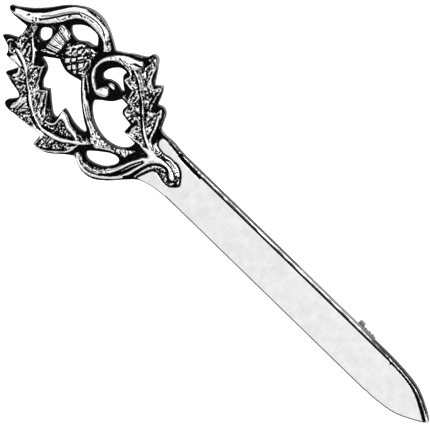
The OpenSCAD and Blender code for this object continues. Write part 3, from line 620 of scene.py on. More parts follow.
RIGHT_CUTS = [
    (0.5, 90, 100, [(56, 31.8), (58, 31), (60, 29.7), (62, 28.5), (63.8, 27), (65.3, 25),
                    (66.6, 23.1), (68, 21.4), (69.3, 20.1), (70.5, 18.4), (72, 16)]),
    (0.45, 100, 95, [(72, 16), (73.5, 13.9), (75, 11.7), (76.5, 9.5), (78, 7.4), (79.5, 5.6),
                     (81, 4), (82.5, 2.6), (84, 1.4), (85.4, 0.7)]),
    (0.3, 100, 80, [(74.6, 15.4), (76, 13.6), (77.6, 11.6), (79.2, 9.6)]),
    (1.4, 60, 100, [(59.6, 40.6), (60.6, 40.8)]),
    (1.2, 60, 100, [(59.8, 42.4), (61, 42)]),
    (0.55, 70, 100, [(60.6, 44.4), (61.6, 44.2)]),
    (0.5, 70, 100, [(62.3, 39), (62.3, 38)]),
    (0.4, 70, 95, [(56.4, 35.2), (58, 35.8), (59.4, 36.6), (61, 36.6)]),
    (0.5, 70, 95, [(61.4, 36), (61.6, 33.8)]),
    (0.4, 70, 95, [(62.6, 36.4), (64, 34.4), (65, 32.4), (65.2, 31)]),
    (0.5, 70, 100, [(70, 26), (69.9, 23)]),
    (0.5, 70, 100, [(70.8, 28.6), (71, 26)]),
    (0.55, 70, 100, [(72.5, 32.6), (72.4, 30), (72.8, 27), (73, 24)]),
    (0.5, 70, 90, [(65.4, 19.6), (65.4, 16.4)]),
    (0.5, 70, 95, [(67.2, 18.6), (67.3, 15.8)]),
    (0.4, 70, 95, [(79.2, 21), (80, 18), (81, 15), (82, 11.6), (82.4, 8.4), (83.4, 6)]),
    (0.45, 70, 90, [(78.2, 17), (78.2, 12.6)]),
    (0.45, 70, 90, [(79.3, 13), (79.6, 10.4)]),
]
RIGHT_PITS = [
    (77.3, 16.6, 0.6, 90), (76.4, 17.6, 0.3, 30), (76.9, 13.2, 0.6, 95), (75.6, 15.6, 0.4, 90),
    (59.6, 23.9, 0.6, 100), (59.4, 27.4, 0.6, 95), (57.8, 29.8, 0.45, 80), (59.2, 29, 0.5, 95),
    (69.6, 29.8, 0.5, 90), (67, 24.4, 0.45, 80), (84.4, 0.7, 0.55, 90), (86, 0.6, 0.4, 40),
    (68.8, 11.4, 0.5, 95), (70.4, 10.1, 0.5, 95), (61, 45.6, 0.01, 0), (74.4, 16.8, 0.6, 95),
]
STALK_CUTS = [
    (0.3, 105, 90, [(46.4, 2.8), (48, 0.4), (50, -1.6), (51.6, -4.2)]),
    (0.3, 105, 85, [(53, -7.8), (55, -10), (57, -12), (58.6, -13.3), (60.2, -14.5), (62, -15.8)]),
    (0.25, 105, 60, [(54, -7.2), (56.4, -9.8), (58.6, -11.8), (61, -13.3), (63.4, -14.8)]),
]
LOOP_CUTS = [
    (0.75, 90, 100, [(88.6, -9.4), (87.6, -13), (87, -17), (86.3, -20.2), (85.4, -23),
                   (84, -26.4), (82.4, -29.4), (80.5, -31.8), (78, -34.2), (75, -36.3),
                   (72, -37.6), (69, -37.9)]),
]
LOOP_TARNISH = [
    (0.9, 80, 28, [(86.4, -25.6), (84.6, -29), (82, -32.8), (79.4, -36), (76.4, -38.6),
                   (73, -39.8), (69.8, -39.4), (66.8, -37.6)]),
]
TAIL_CUTS = [
    (0.55, 110, 100, [(85.7, 12.3), (86.2, 10.5), (87, 8.7), (88, 7.2), (89, 6.2), (90.2, 5.6),
                     (91.5, 5.4), (93, 5.3), (94, 5.6), (95, 6), (96.3, 6.3), (97.5, 6.4),
                     (99, 6.3)]),
    (0.72, 110, 100, [(99, 6.3), (100, 6.5), (101.4, 5.8), (103, 4.7), (104, 3.5), (105, 2),
                     (105.7, 0.6), (106.3, -0.6), (106.8, -1.8), (107.1, -3), (106.4, -4.6),
                     (105.5, -6)]),
    (0.6, 110, 85, [(105.5, -6), (104.4, -7.6), (103, -8.1), (101.5, -8.2), (100, -7.9),
                    (98.8, -7.3), (97.5, -6.9), (96, -6.6), (95, -6.9)]),
    (0.85, 105, 100, [(95, -6.9), (94.2, -7.5), (93.6, -8.7), (93, -10.6), (92.6, -12.2),
                     (92.1, -14.2), (91.6, -16.2), (91.2, -18), (91, -19.8)]),
    (1.0, 120, 100, [(89.4, -21), (89.8, -17), (90.2, -13.6), (90.8, -10.4), (91.4, -7.6),
                    (92.3, -5.3), (93.4, -3.5), (94.5, -2.2), (96, -1.2), (97.3, -0.8),
                    (98.5, -1.1), (99.5, -2.1), (100.5, -3.5), (101.5, -4.6), (103, -4.9),
                    (104, -4), (104.8, -2.6), (105, -1.6)]),
    (0.4, 130, 95, [(91.3, 0.9), (92.4, 1.5), (93.5, 2), (95, 2.1), (96.5, 2), (98, 2),
                     (99.5, 1.7), (100.6, 1.2)]),
    (0.5, 130, 95, [(100.6, 1.2), (101.5, 0.7), (102.5, -0.2), (103.4, -1.3)]),
    (0.3, 130, 55, [(86, 2.8), (87.5, 2), (89, 1.3), (90.3, 0.9), (91.3, 0.9)]),
    (0.9, 115, 85, [(93, 3.1), (94, 3.3), (95.2, 3.4)]),
    (0.6, 115, 85, [(95.2, 3.6), (96, 4), (96.9, 4.4)]),
    (0.6, 115, 45, [(97.4, 4.2), (99, 3.8), (100.6, 3.3)]),
    (0.4, 115, 85, [(92.1, 1.7), (92.1, 4.4)]),
    (0.35, 115, 90, [(90.9, 2.8), (90.9, 4.3)]),
    (0.5, 115, 90, [(90.1, 2.2), (90.7, 2.1)]),
    (0.35, 115, 60, [(88.2, 4), (89.4, 2.8)]),
    (0.4, 120, 80, [(104.8, 1), (105, -0.4)]),
    (0.6, 120, 100, [(103.3, -0.2), (103.7, -1.5)]),
    (0.9, 115, 80, [(105.8, -3.4), (105.2, -5)]),
    (0.7, 100, 100, [(83.8, 13), (84.5, 10.6), (85.2, 8.2), (86.2, 6)]),
    (0.4, 110, 80, [(86, 5.4), (87, 3.8), (88, 3)]),
]
TAIL_PITS = [
    (102.6, 2.6, 0.5, 75), (102.2, 1.3, 0.45, 70), (103.7, 0.4, 0.5, 85), (95.2, -5, 0.55, 95),
    (96.2, -4.5, 0.6, 95), (97.4, -3.5, 0.5, 85), (97.3, -5, 0.5, 90), (98.8, -5.6, 0.5, 80),
    (96.4, -6.4, 0.4, 70), (100.1, 0.1, 0.35, 45), (93.3, -0.4, 0.35, 15), (91.2, -1, 0.3, 15),
    (101.4, -0.9, 0.35, 30), (101.6, -2.2, 0.3, 20), (92.4, -1.9, 0.35, 20),
]
# Painted shade: the black line along the face's upper flank near the head, cut in as a shallow groove.
FACE_SHADE_CUTS = [
    (0.32, 60, 100, [(84.6, 11.9), (86.5, 12.3), (88, 12.9), (90, 13.1), (92, 12.8), (94, 12.6),
                     (96, 12.3), (98, 12)]),
    (0.62, 60, 100, [(98, 11.9), (100, 11.5), (103, 11.2), (106, 11), (108.4, 10.8)]),
    (0.45, 60, 100, [(108.4, 10.9), (112, 10.6)]),
    (0.5, 40, 100, [(98.8, 13.2), (98.9, 12.2)]),
    (0.35, 40, 100, [(108.3, 12.2), (108.6, 11.2)]),
]

# Fine marks, drawn one by one. Each row: how black it is in hundredths, its half width, and the
# places, along and across, that it is seen to run through.
LEFT_MARKS = [
    # The neck and the first spur.
    (25, 0.4, 13.6, 5.6, 14.2, 6.8, 14.8, 6.9), (45, 0.3, 14.8, 6.9, 14.9, 5.2, 14.3, 4.2),
    (40, 0.35, 15.2, 5.2, 15.2, 3), (60, 0.25, 13.4, 4.8, 13.4, 1), (60, 0.45, 12.3, 3.8),
    (15, 0.4, 15.2, -0.1, 15.5, -0.9), (10, 0.4, 14, -0.6), (60, 0.3, 12.8, 0, 12.8, -3.4),
    (35, 0.45, 13.6, -3.2), (25, 0.45, 14.7, -3.4, 15.2, -3), (50, 0.35, 16.4, -3.6, 16.6, -2),
    (5, 0.35, 15.3, -4.4), (25, 0.35, 15.3, -5.8), (15, 0.45, 15.3, -7.6),
    (0, 0.38, 13.6, -4.8, 13.5, -5.8), (15, 0.5, 13.4, -7, 14, -8, 15, -9.6),
    (0, 0.4, 12.5, -9.9, 14.4, -9.8), (40, 0.4, 14.7, -11), (60, 0.4, 13.8, -11.2),
    (55, 0.4, 12.7, -11.6), (0, 0.4, 10.8, -10.3, 9.9, -11.2, 9.7, -12.4),
    (15, 0.35, 9.7, -12.4, 9.6, -13.8), (35, 0.5, 11.2, -12.4, 11.8, -14),
    (0, 0.55, 11.8, -14, 12.6, -15.6, 13.6, -17.1), (30, 0.5, 13.2, -14.8),
    (0, 0.5, 14.6, -14.8, 14.6, -16), (0, 0.4, 14.8, -16, 16.4, -15.6, 16.6, -17),
    (10, 0.42, 15.8, -9, 16.2, -10.6, 16.6, -11.8), (35, 0.5, 17.6, -4.8),
    (25, 0.5, 17.6, -6.8, 17.4, -7.8), (5, 0.5, 17.6, -9.2, 17.6, -11),
    (0, 0.65, 18.4, -10.2, 18.6, -12.4), (25, 0.5, 18.7, -6.6, 19, -7.8),
    (5, 0.5, 19.6, -7.4, 19.7, -9, 20.1, -11), (100, 0.4, 16.1, -0.4, 16.1, -3),
    (100, 0.5, 16, -4.4, 16, -6.6, 16.6, -9, 17.1, -11.2),
    (100, 0.5, 18.1, -6, 18.5, -8.2, 19.1, -10.4, 19.4, -12.4), (100, 0.35, 17.1, -2.6),
    (90, 0.35, 14.3, -2.3), (95, 0.4, 14.3, -4.6), (95, 0.4, 14.7, -6.5), (80, 0.3, 15.4, -8.7),
    (80, 0.25, 13.4, -1.8), (100, 0.7, 12.8, -12.8, 15.4, -12), (95, 0.35, 10.4, -13.4),
    (100, 0.4, 14, -15.4), (100, 0.3, 15.6, -14.6),
    # Under the leaf's upper edge.
    (100, 0.4, 17.6, -3, 18.6, -4.4, 20, -6.4, 21, -8, 22.2, -10.6), (60, 0.4, 20.4, -10.3),
    (85, 0.35, 21.4, -10.9), (80, 0.42, 20.6, -12.1), (95, 0.45, 21.6, -13.9),
    (95, 0.5, 22.6, -12.2), (90, 0.35, 23, -13.5), (85, 0.42, 24.2, -14.6),
    (55, 0.35, 23.4, -15.3), (0, 0.5, 21.3, -12.8), (5, 0.45, 22.8, -14.3),
    (20, 0.4, 24.8, -15.4),
    # The middle spur.
    (5, 0.45, 28.7, -8.3), (40, 0.3, 28.4, -9.4, 28.2, -10.3),
    (35, 0.32, 28.2, -10.5, 27.2, -10.9, 26.8, -11.6),
    (10, 0.4, 28.4, -10.6, 29.2, -12.6, 30, -14.8, 30.5, -15.8),
    (10, 0.42, 30.7, -17, 31.6, -19.4), (30, 0.32, 31.8, -19.8, 33.2, -20.8, 34, -21.8),
    (10, 0.35, 27.4, -13.8), (0, 0.4, 27.3, -15.2, 27.1, -16.4), (10, 0.38, 27.4, -19.2),
    (25, 0.5, 28.6, -16.4), (20, 0.38, 29.6, -16.6), (35, 0.35, 28.2, -17.8),
    (35, 0.3, 29.7, -18.4), (50, 0.3, 26.2, -15, 26.2, -18), (35, 0.3, 26, -11.9, 25.4, -13),
    (25, 0.35, 25.4, -16.6), (100, 0.5, 28.3, -11.4, 28.3, -13.4), (95, 0.4, 28.3, -14.7),
    (100, 0.4, 26.6, -13.2, 26.8, -14.6, 26.6, -16.4), (85, 0.3, 26.8, -18.4),
    (80, 0.35, 26.7, -19.9), (85, 0.4, 28.4, -18.7),
    (100, 0.42, 30.3, -17.2, 30.6, -19, 31, -20.4), (70, 0.3, 29.3, -19.6),
    (70, 0.3, 27.5, -21.6), (65, 0.3, 29.3, -22.3), (90, 0.35, 31, -22.3, 31.6, -22.4),
    (70, 0.3, 30.3, -23.5), (90, 0.4, 31.5, -24.2, 32.2, -25.8), (65, 0.3, 33, -25.7),
    (80, 0.35, 33.1, -27.4), (70, 0.3, 25.3, -18), (95, 0.35, 35.2, -26.2, 35.4, -27.8),
    (95, 0.42, 34.3, -28.9), (15, 0.38, 33.6, -22.4, 33.6, -23.6),
    (5, 0.38, 32.2, -24.4, 33, -25.2), (15, 0.35, 31.5, -25, 31.9, -26.4),
    (15, 0.4, 29.8, -24.8), (20, 0.35, 30, -26.4, 30.8, -26.6), (25, 0.3, 30.6, -21),
    (30, 0.3, 32.4, -21.8),
    # The low part by the outline.
    (0, 0.7, 21.6, -20.8, 22.6, -22.6, 23.2, -24.2), (0, 0.8, 23, -25, 22.3, -26.6, 21.7, -27.3),
    (25, 0.45, 22.6, -20.4, 24.6, -20.4), (35, 0.3, 24.4, -21.4, 24.6, -23),
    (10, 0.4, 24.6, -24.8), (0, 0.45, 26, -22.6, 26, -24.6), (50, 0.45, 27.2, -25.2),
    (5, 0.38, 28.6, -26.5), (30, 0.35, 26.2, -26, 25, -27.4, 24.2, -27.4),
    (0, 0.42, 23.2, -28.3, 23.4, -27), (30, 0.3, 20.7, -29.2, 22.6, -29),
    (10, 0.42, 26.3, -30.2, 27.4, -30.4), (55, 0.3, 26.2, -27.8, 26.2, -28.8),
    (35, 0.35, 27.6, -27.4, 27.7, -28.6), (45, 0.3, 29, -28.4, 29, -29.8),
    (30, 0.42, 28.2, -31.4), (0, 0.45, 30.4, -29.3), (10, 0.35, 31.6, -30.4),
    (50, 0.32, 31.6, -28), (100, 0.42, 23.7, -22, 24.1, -24), (95, 0.4, 25.3, -23.4),
    (100, 0.38, 26.8, -22.8, 27.2, -24.2), (65, 0.3, 24.8, -26.4),
    (100, 0.35, 21.6, -28.3, 23, -28.2), (90, 0.38, 26.8, -29.2),
    (100, 0.35, 28.3, -28, 28.6, -30.4), (95, 0.38, 30, -30.4), (95, 0.3, 31, -29, 31, -31),
    (90, 0.32, 29.3, -26.8), (90, 0.35, 24.4, -29.4), (90, 0.35, 21.8, -23.4, 21.7, -24.8),
    (100, 0.45, 26.4, -22.4, 27, -23.6, 28, -24.8, 28.5, -25.4),
    (100, 0.42, 28.4, -25.6, 27, -26.4, 26, -27.4, 25.4, -28.4),
    (100, 0.5, 21, -30.1, 24, -30.5, 26, -31.4, 28, -32.6, 29.8, -33.2),
    # The leaf's lower tip.
    (0, 1.5, 31, -41.4, 31.7, -38.4, 31.6, -35.6), (45, 0.3, 31.5, -40.4, 31.5, -41.6),
    (15, 0.4, 30.6, -44), (10, 0.42, 33.2, -43.6), (15, 0.4, 34.2, -34.8, 34.2, -36.8),
    (25, 0.38, 35.3, -36.2, 34.4, -38), (40, 0.25, 33.1, -36.6, 33.1, -38.8),
    (10, 0.42, 35.8, -38.6, 35.4, -39.6), (20, 0.45, 34.1, -41.1), (0, 0.5, 36.1, -42.4),
    (0, 0.8, 37.4, -41.6), (15, 0.5, 38.3, -40.6), (30, 0.38, 36.7, -38.4),
    (45, 0.35, 37.3, -39.3), (20, 0.45, 37.9, -37.8), (45, 0.4, 36.4, -35.6),
    (45, 0.3, 37.9, -36.4), (20, 0.45, 39, -38.4), (30, 0.5, 39.6, -40.6, 39.8, -41.8),
    (0, 0.55, 41, -40.3), (0, 0.42, 41.9, -39.8, 43, -40.3, 44, -40.3),
    (95, 0.3, 33.6, -34.8, 33.7, -36.6, 33.6, -38.6, 33.5, -40.6), (90, 0.3, 32.8, -35.2),
    (100, 0.38, 36.1, -36.8, 35, -38.6, 33.9, -39.8, 33.4, -41),
    (100, 0.42, 35.5, -40.4, 35.6, -41.8), (85, 0.35, 34.7, -42),
    (95, 0.38, 36.4, -40.6, 37.6, -39.6, 38.3, -39.2), (100, 0.42, 37.2, -36.9),
    (90, 0.35, 38.8, -40.9, 38.6, -42), (85, 0.3, 38.5, -37), (100, 0.6, 40.6, -38, 39.6, -39.6),
    (100, 0.38, 42.2, -41.4), (95, 0.42, 42.4, -42.8), (95, 0.42, 40, -43.4, 38.6, -43.8),
    (95, 0.38, 36.8, -44.4), (100, 0.5, 33.2, -44.6, 35, -44.3),
    (90, 0.38, 29.2, -44.8, 30.2, -45.2), (100, 0.5, 34.7, -33.3, 35.9, -34.8),
    (85, 0.35, 37, -34.9, 38.4, -36, 39.6, -36.9),
    (90, 0.38, 40.4, -37.6, 42, -38.6, 43.4, -39.3, 44.3, -39.7),
    (75, 0.3, 44.3, -39.8, 45.4, -40.2, 46.4, -40.4),
    # The second spur.
    (20, 0.35, 34.4, -22.6, 35.2, -21.6, 36.4, -21), (75, 0.28, 34.9, -22.9, 35.4, -22.2),
    (15, 0.42, 36.9, -24, 36.8, -25), (0, 0.45, 37.6, -25.8), (90, 0.32, 37.3, -24.7),
    (25, 0.4, 38.2, -26.6, 38.7, -28),
    (15, 0.36, 37.2, -20, 38.2, -21.6, 39.6, -24.2, 40.4, -25.6, 41, -27),
    (10, 0.42, 41, -27, 41.6, -28.4, 41.8, -29.4),
    (0, 0.75, 42, -29.8, 42.4, -31, 43.2, -31.8, 44, -31.8),
    (20, 0.32, 39.4, -29.8, 40.1, -30.4, 39.5, -31.2), (85, 0.3, 39.7, -30.6),
    (30, 0.35, 36, -26.6, 36.2, -28), (35, 0.35, 37, -28.5), (30, 0.32, 37.6, -29.6),
    (25, 0.38, 34.6, -27.6, 35.4, -29.4, 36.4, -30), (30, 0.5, 38.4, -31.4, 38, -32.6),
    (20, 0.32, 37.2, -31.4), (20, 0.45, 40.6, -33, 41.2, -34),
    (20, 0.5, 42.4, -34.2, 41.6, -34.8), (25, 0.42, 43.8, -34.6), (5, 0.45, 45.4, -33),
    (0, 0.5, 46.6, -34.3), (0, 0.5, 44.3, -36.2, 45.6, -37),
    (10, 0.38, 47.2, -35.4, 46.9, -36.6), (35, 0.35, 49, -35.2), (30, 0.35, 48.4, -35.6),
    (100, 0.5, 37.8, -21.8, 38.6, -23.1), (100, 0.5, 38.4, -24.2, 39.4, -25.8),
    (100, 0.42, 36.4, -24.6, 36.8, -25.8, 37, -27.2, 37.6, -28.4, 38.3, -29.6, 38.6, -30.8, 39, -32),
    (95, 0.38, 36.4, -27, 36.3, -28),
    (100, 0.62, 40.3, -26.8, 40.4, -28.6, 40.9, -30.6, 41.6, -32, 41.8, -33),
    (100, 0.38, 41.6, -25.8, 42.4, -27.6), (100, 0.42, 42.6, -28.8, 43.9, -30.8),
    (95, 0.38, 36.4, -31.2, 36.8, -32.4), (70, 0.25, 37.2, -30.4), (80, 0.35, 40.8, -34.8),
    (95, 0.5, 42.8, -32.8, 43.6, -33.6), (100, 0.38, 45.1, -33.6, 45.2, -35.4),
    (100, 0.38, 46.2, -36, 46.3, -37), (95, 0.32, 46.2, -37.7, 48, -37.6, 49.6, -37),
    (65, 0.5, 42.6, -25.4, 43.6, -28), (62, 0.4, 44.4, -29.2),
    (60, 0.4, 45.6, -30.6, 47.2, -30.5), (60, 0.35, 46.2, -31.6),
    # The tooth and the triangle below it.
    (15, 0.38, 60.4, -25.6, 61.6, -25.4, 63, -26.2), (90, 0.28, 60.8, -26.5, 62.6, -27.1),
    (90, 0.3, 64.3, -25.1), (45, 0.3, 62, -28.6), (5, 0.42, 50.8, -27.7),
    (90, 0.32, 51.3, -26.9, 51.6, -28), (25, 0.35, 51.2, -29), (5, 0.4, 52.3, -30.6),
    (5, 0.4, 53.1, -29.6), (15, 0.35, 53.8, -30.6), (75, 0.3, 53, -30.4), (0, 0.5, 53.3, -31.9),
    (5, 0.42, 54.2, -32.2), (10, 0.36, 54.9, -33.6), (10, 0.35, 54.9, -29.4, 55.1, -30.6),
    (10, 0.4, 55.8, -29.6), (5, 0.45, 56.9, -29.7), (35, 0.35, 57.9, -30.2),
    (40, 0.4, 59.3, -29.6), (40, 0.45, 56.8, -31.6), (55, 0.45, 55.6, -31.2),
    (10, 0.36, 51.6, -32.2), (25, 0.35, 51.1, -30.8), (10, 0.36, 51.6, -34.2),
    (15, 0.36, 51.6, -36), (30, 0.4, 50.4, -34), (100, 0.45, 50.4, -31, 50.9, -32.4),
    (100, 0.32, 51.8, -31, 52.6, -32.6), (90, 0.3, 54.2, -28.8, 54.4, -30),
    (95, 0.32, 56, -30.8, 56.2, -32.2),
    (100, 0.75, 53.2, -34.6, 55, -34.4, 57, -32.9, 58.4, -31.8, 60, -30.6),
    (90, 0.32, 52.1, -35), (90, 0.35, 51.1, -35.3), (100, 0.42, 49.4, -36.2, 50.6, -35.6),
    (90, 0.35, 48.8, -36.4),
    # The lobe.
    (55, 0.42, 58.4, -35.4, 59.6, -34, 61.4, -32.2, 62.4, -31.2),
    (95, 0.28, 60.2, -35.7, 61.2, -34.1), (5, 0.34, 59.2, -35.4, 60.6, -33.8),
    (85, 0.36, 57.6, -36.8, 57.7, -37.8), (90, 0.33, 58.8, -38),
    (90, 0.26, 60, -38, 60.8, -38, 61, -38.8, 60.3, -39.5), (0, 0.3, 60.3, -38.8),
    (90, 0.6, 57.4, -40.1), (85, 0.3, 55.2, -38.4, 56.2, -38, 56.7, -38.9, 56, -40, 55, -41),
    (85, 0.32, 54.6, -39.8), (90, 0.5, 59.2, -40.4), (90, 0.35, 58.8, -41.3),
    (10, 0.5, 61.6, -34.2, 61.8, -36, 61.4, -37.2),
    (15, 0.35, 62.7, -32.8, 62.7, -35, 62.3, -37, 61.5, -38.8, 60.5, -40.4),
    (35, 0.35, 60.4, -40.4, 59, -41.8, 57.6, -43),
    (0, 0.35, 56.5, -40.4, 57, -41.4, 57.9, -41.3), (0, 0.45, 53.3, -39.4, 53.4, -42),
    (95, 0.32, 52.7, -39.6, 52.8, -42.2), (90, 0.32, 51.7, -40, 51.7, -41.6),
    (95, 0.32, 50.9, -42.6), (95, 0.42, 49.7, -42.6, 50.4, -44.8), (0, 0.36, 50.3, -41.6),
    (35, 0.28, 52.1, -42.8, 52.2, -46), (20, 0.32, 53.4, -42.8, 53.4, -44.2),
    (15, 0.42, 53.8, -47), (25, 0.3, 52.4, -47.6, 52.7, -48.7), (5, 0.38, 51, -49),
    (15, 0.38, 55.6, -41.6, 55.4, -42.6), (15, 0.38, 56.8, -43), (40, 0.42, 54.4, -44.6),
    (45, 0.32, 51.4, -45.4), (50, 0.5, 50.6, -47), (40, 0.3, 51, -43.6),
    (95, 0.32, 52.9, -43.6, 53.2, -46.4), (100, 0.42, 55, -43.4, 55.4, -45.4),
    (85, 0.26, 52, -44.6, 51.9, -46),
    (100, 0.45, 49.9, -45.4, 49.7, -48, 49.9, -49.8, 51.6, -49.5, 53.2, -48.4, 54.6, -47, 56, -45.6,
     57.4, -43.7, 58.8, -42),
    (0, 0.4, 49.4, -44.4, 49.1, -47, 49.1, -50, 50, -50.6, 51.6, -50.4, 53.2, -49.4),
    (40, 0.4, 53.2, -49.4, 55, -48.2, 57, -46, 59, -43.6),
]
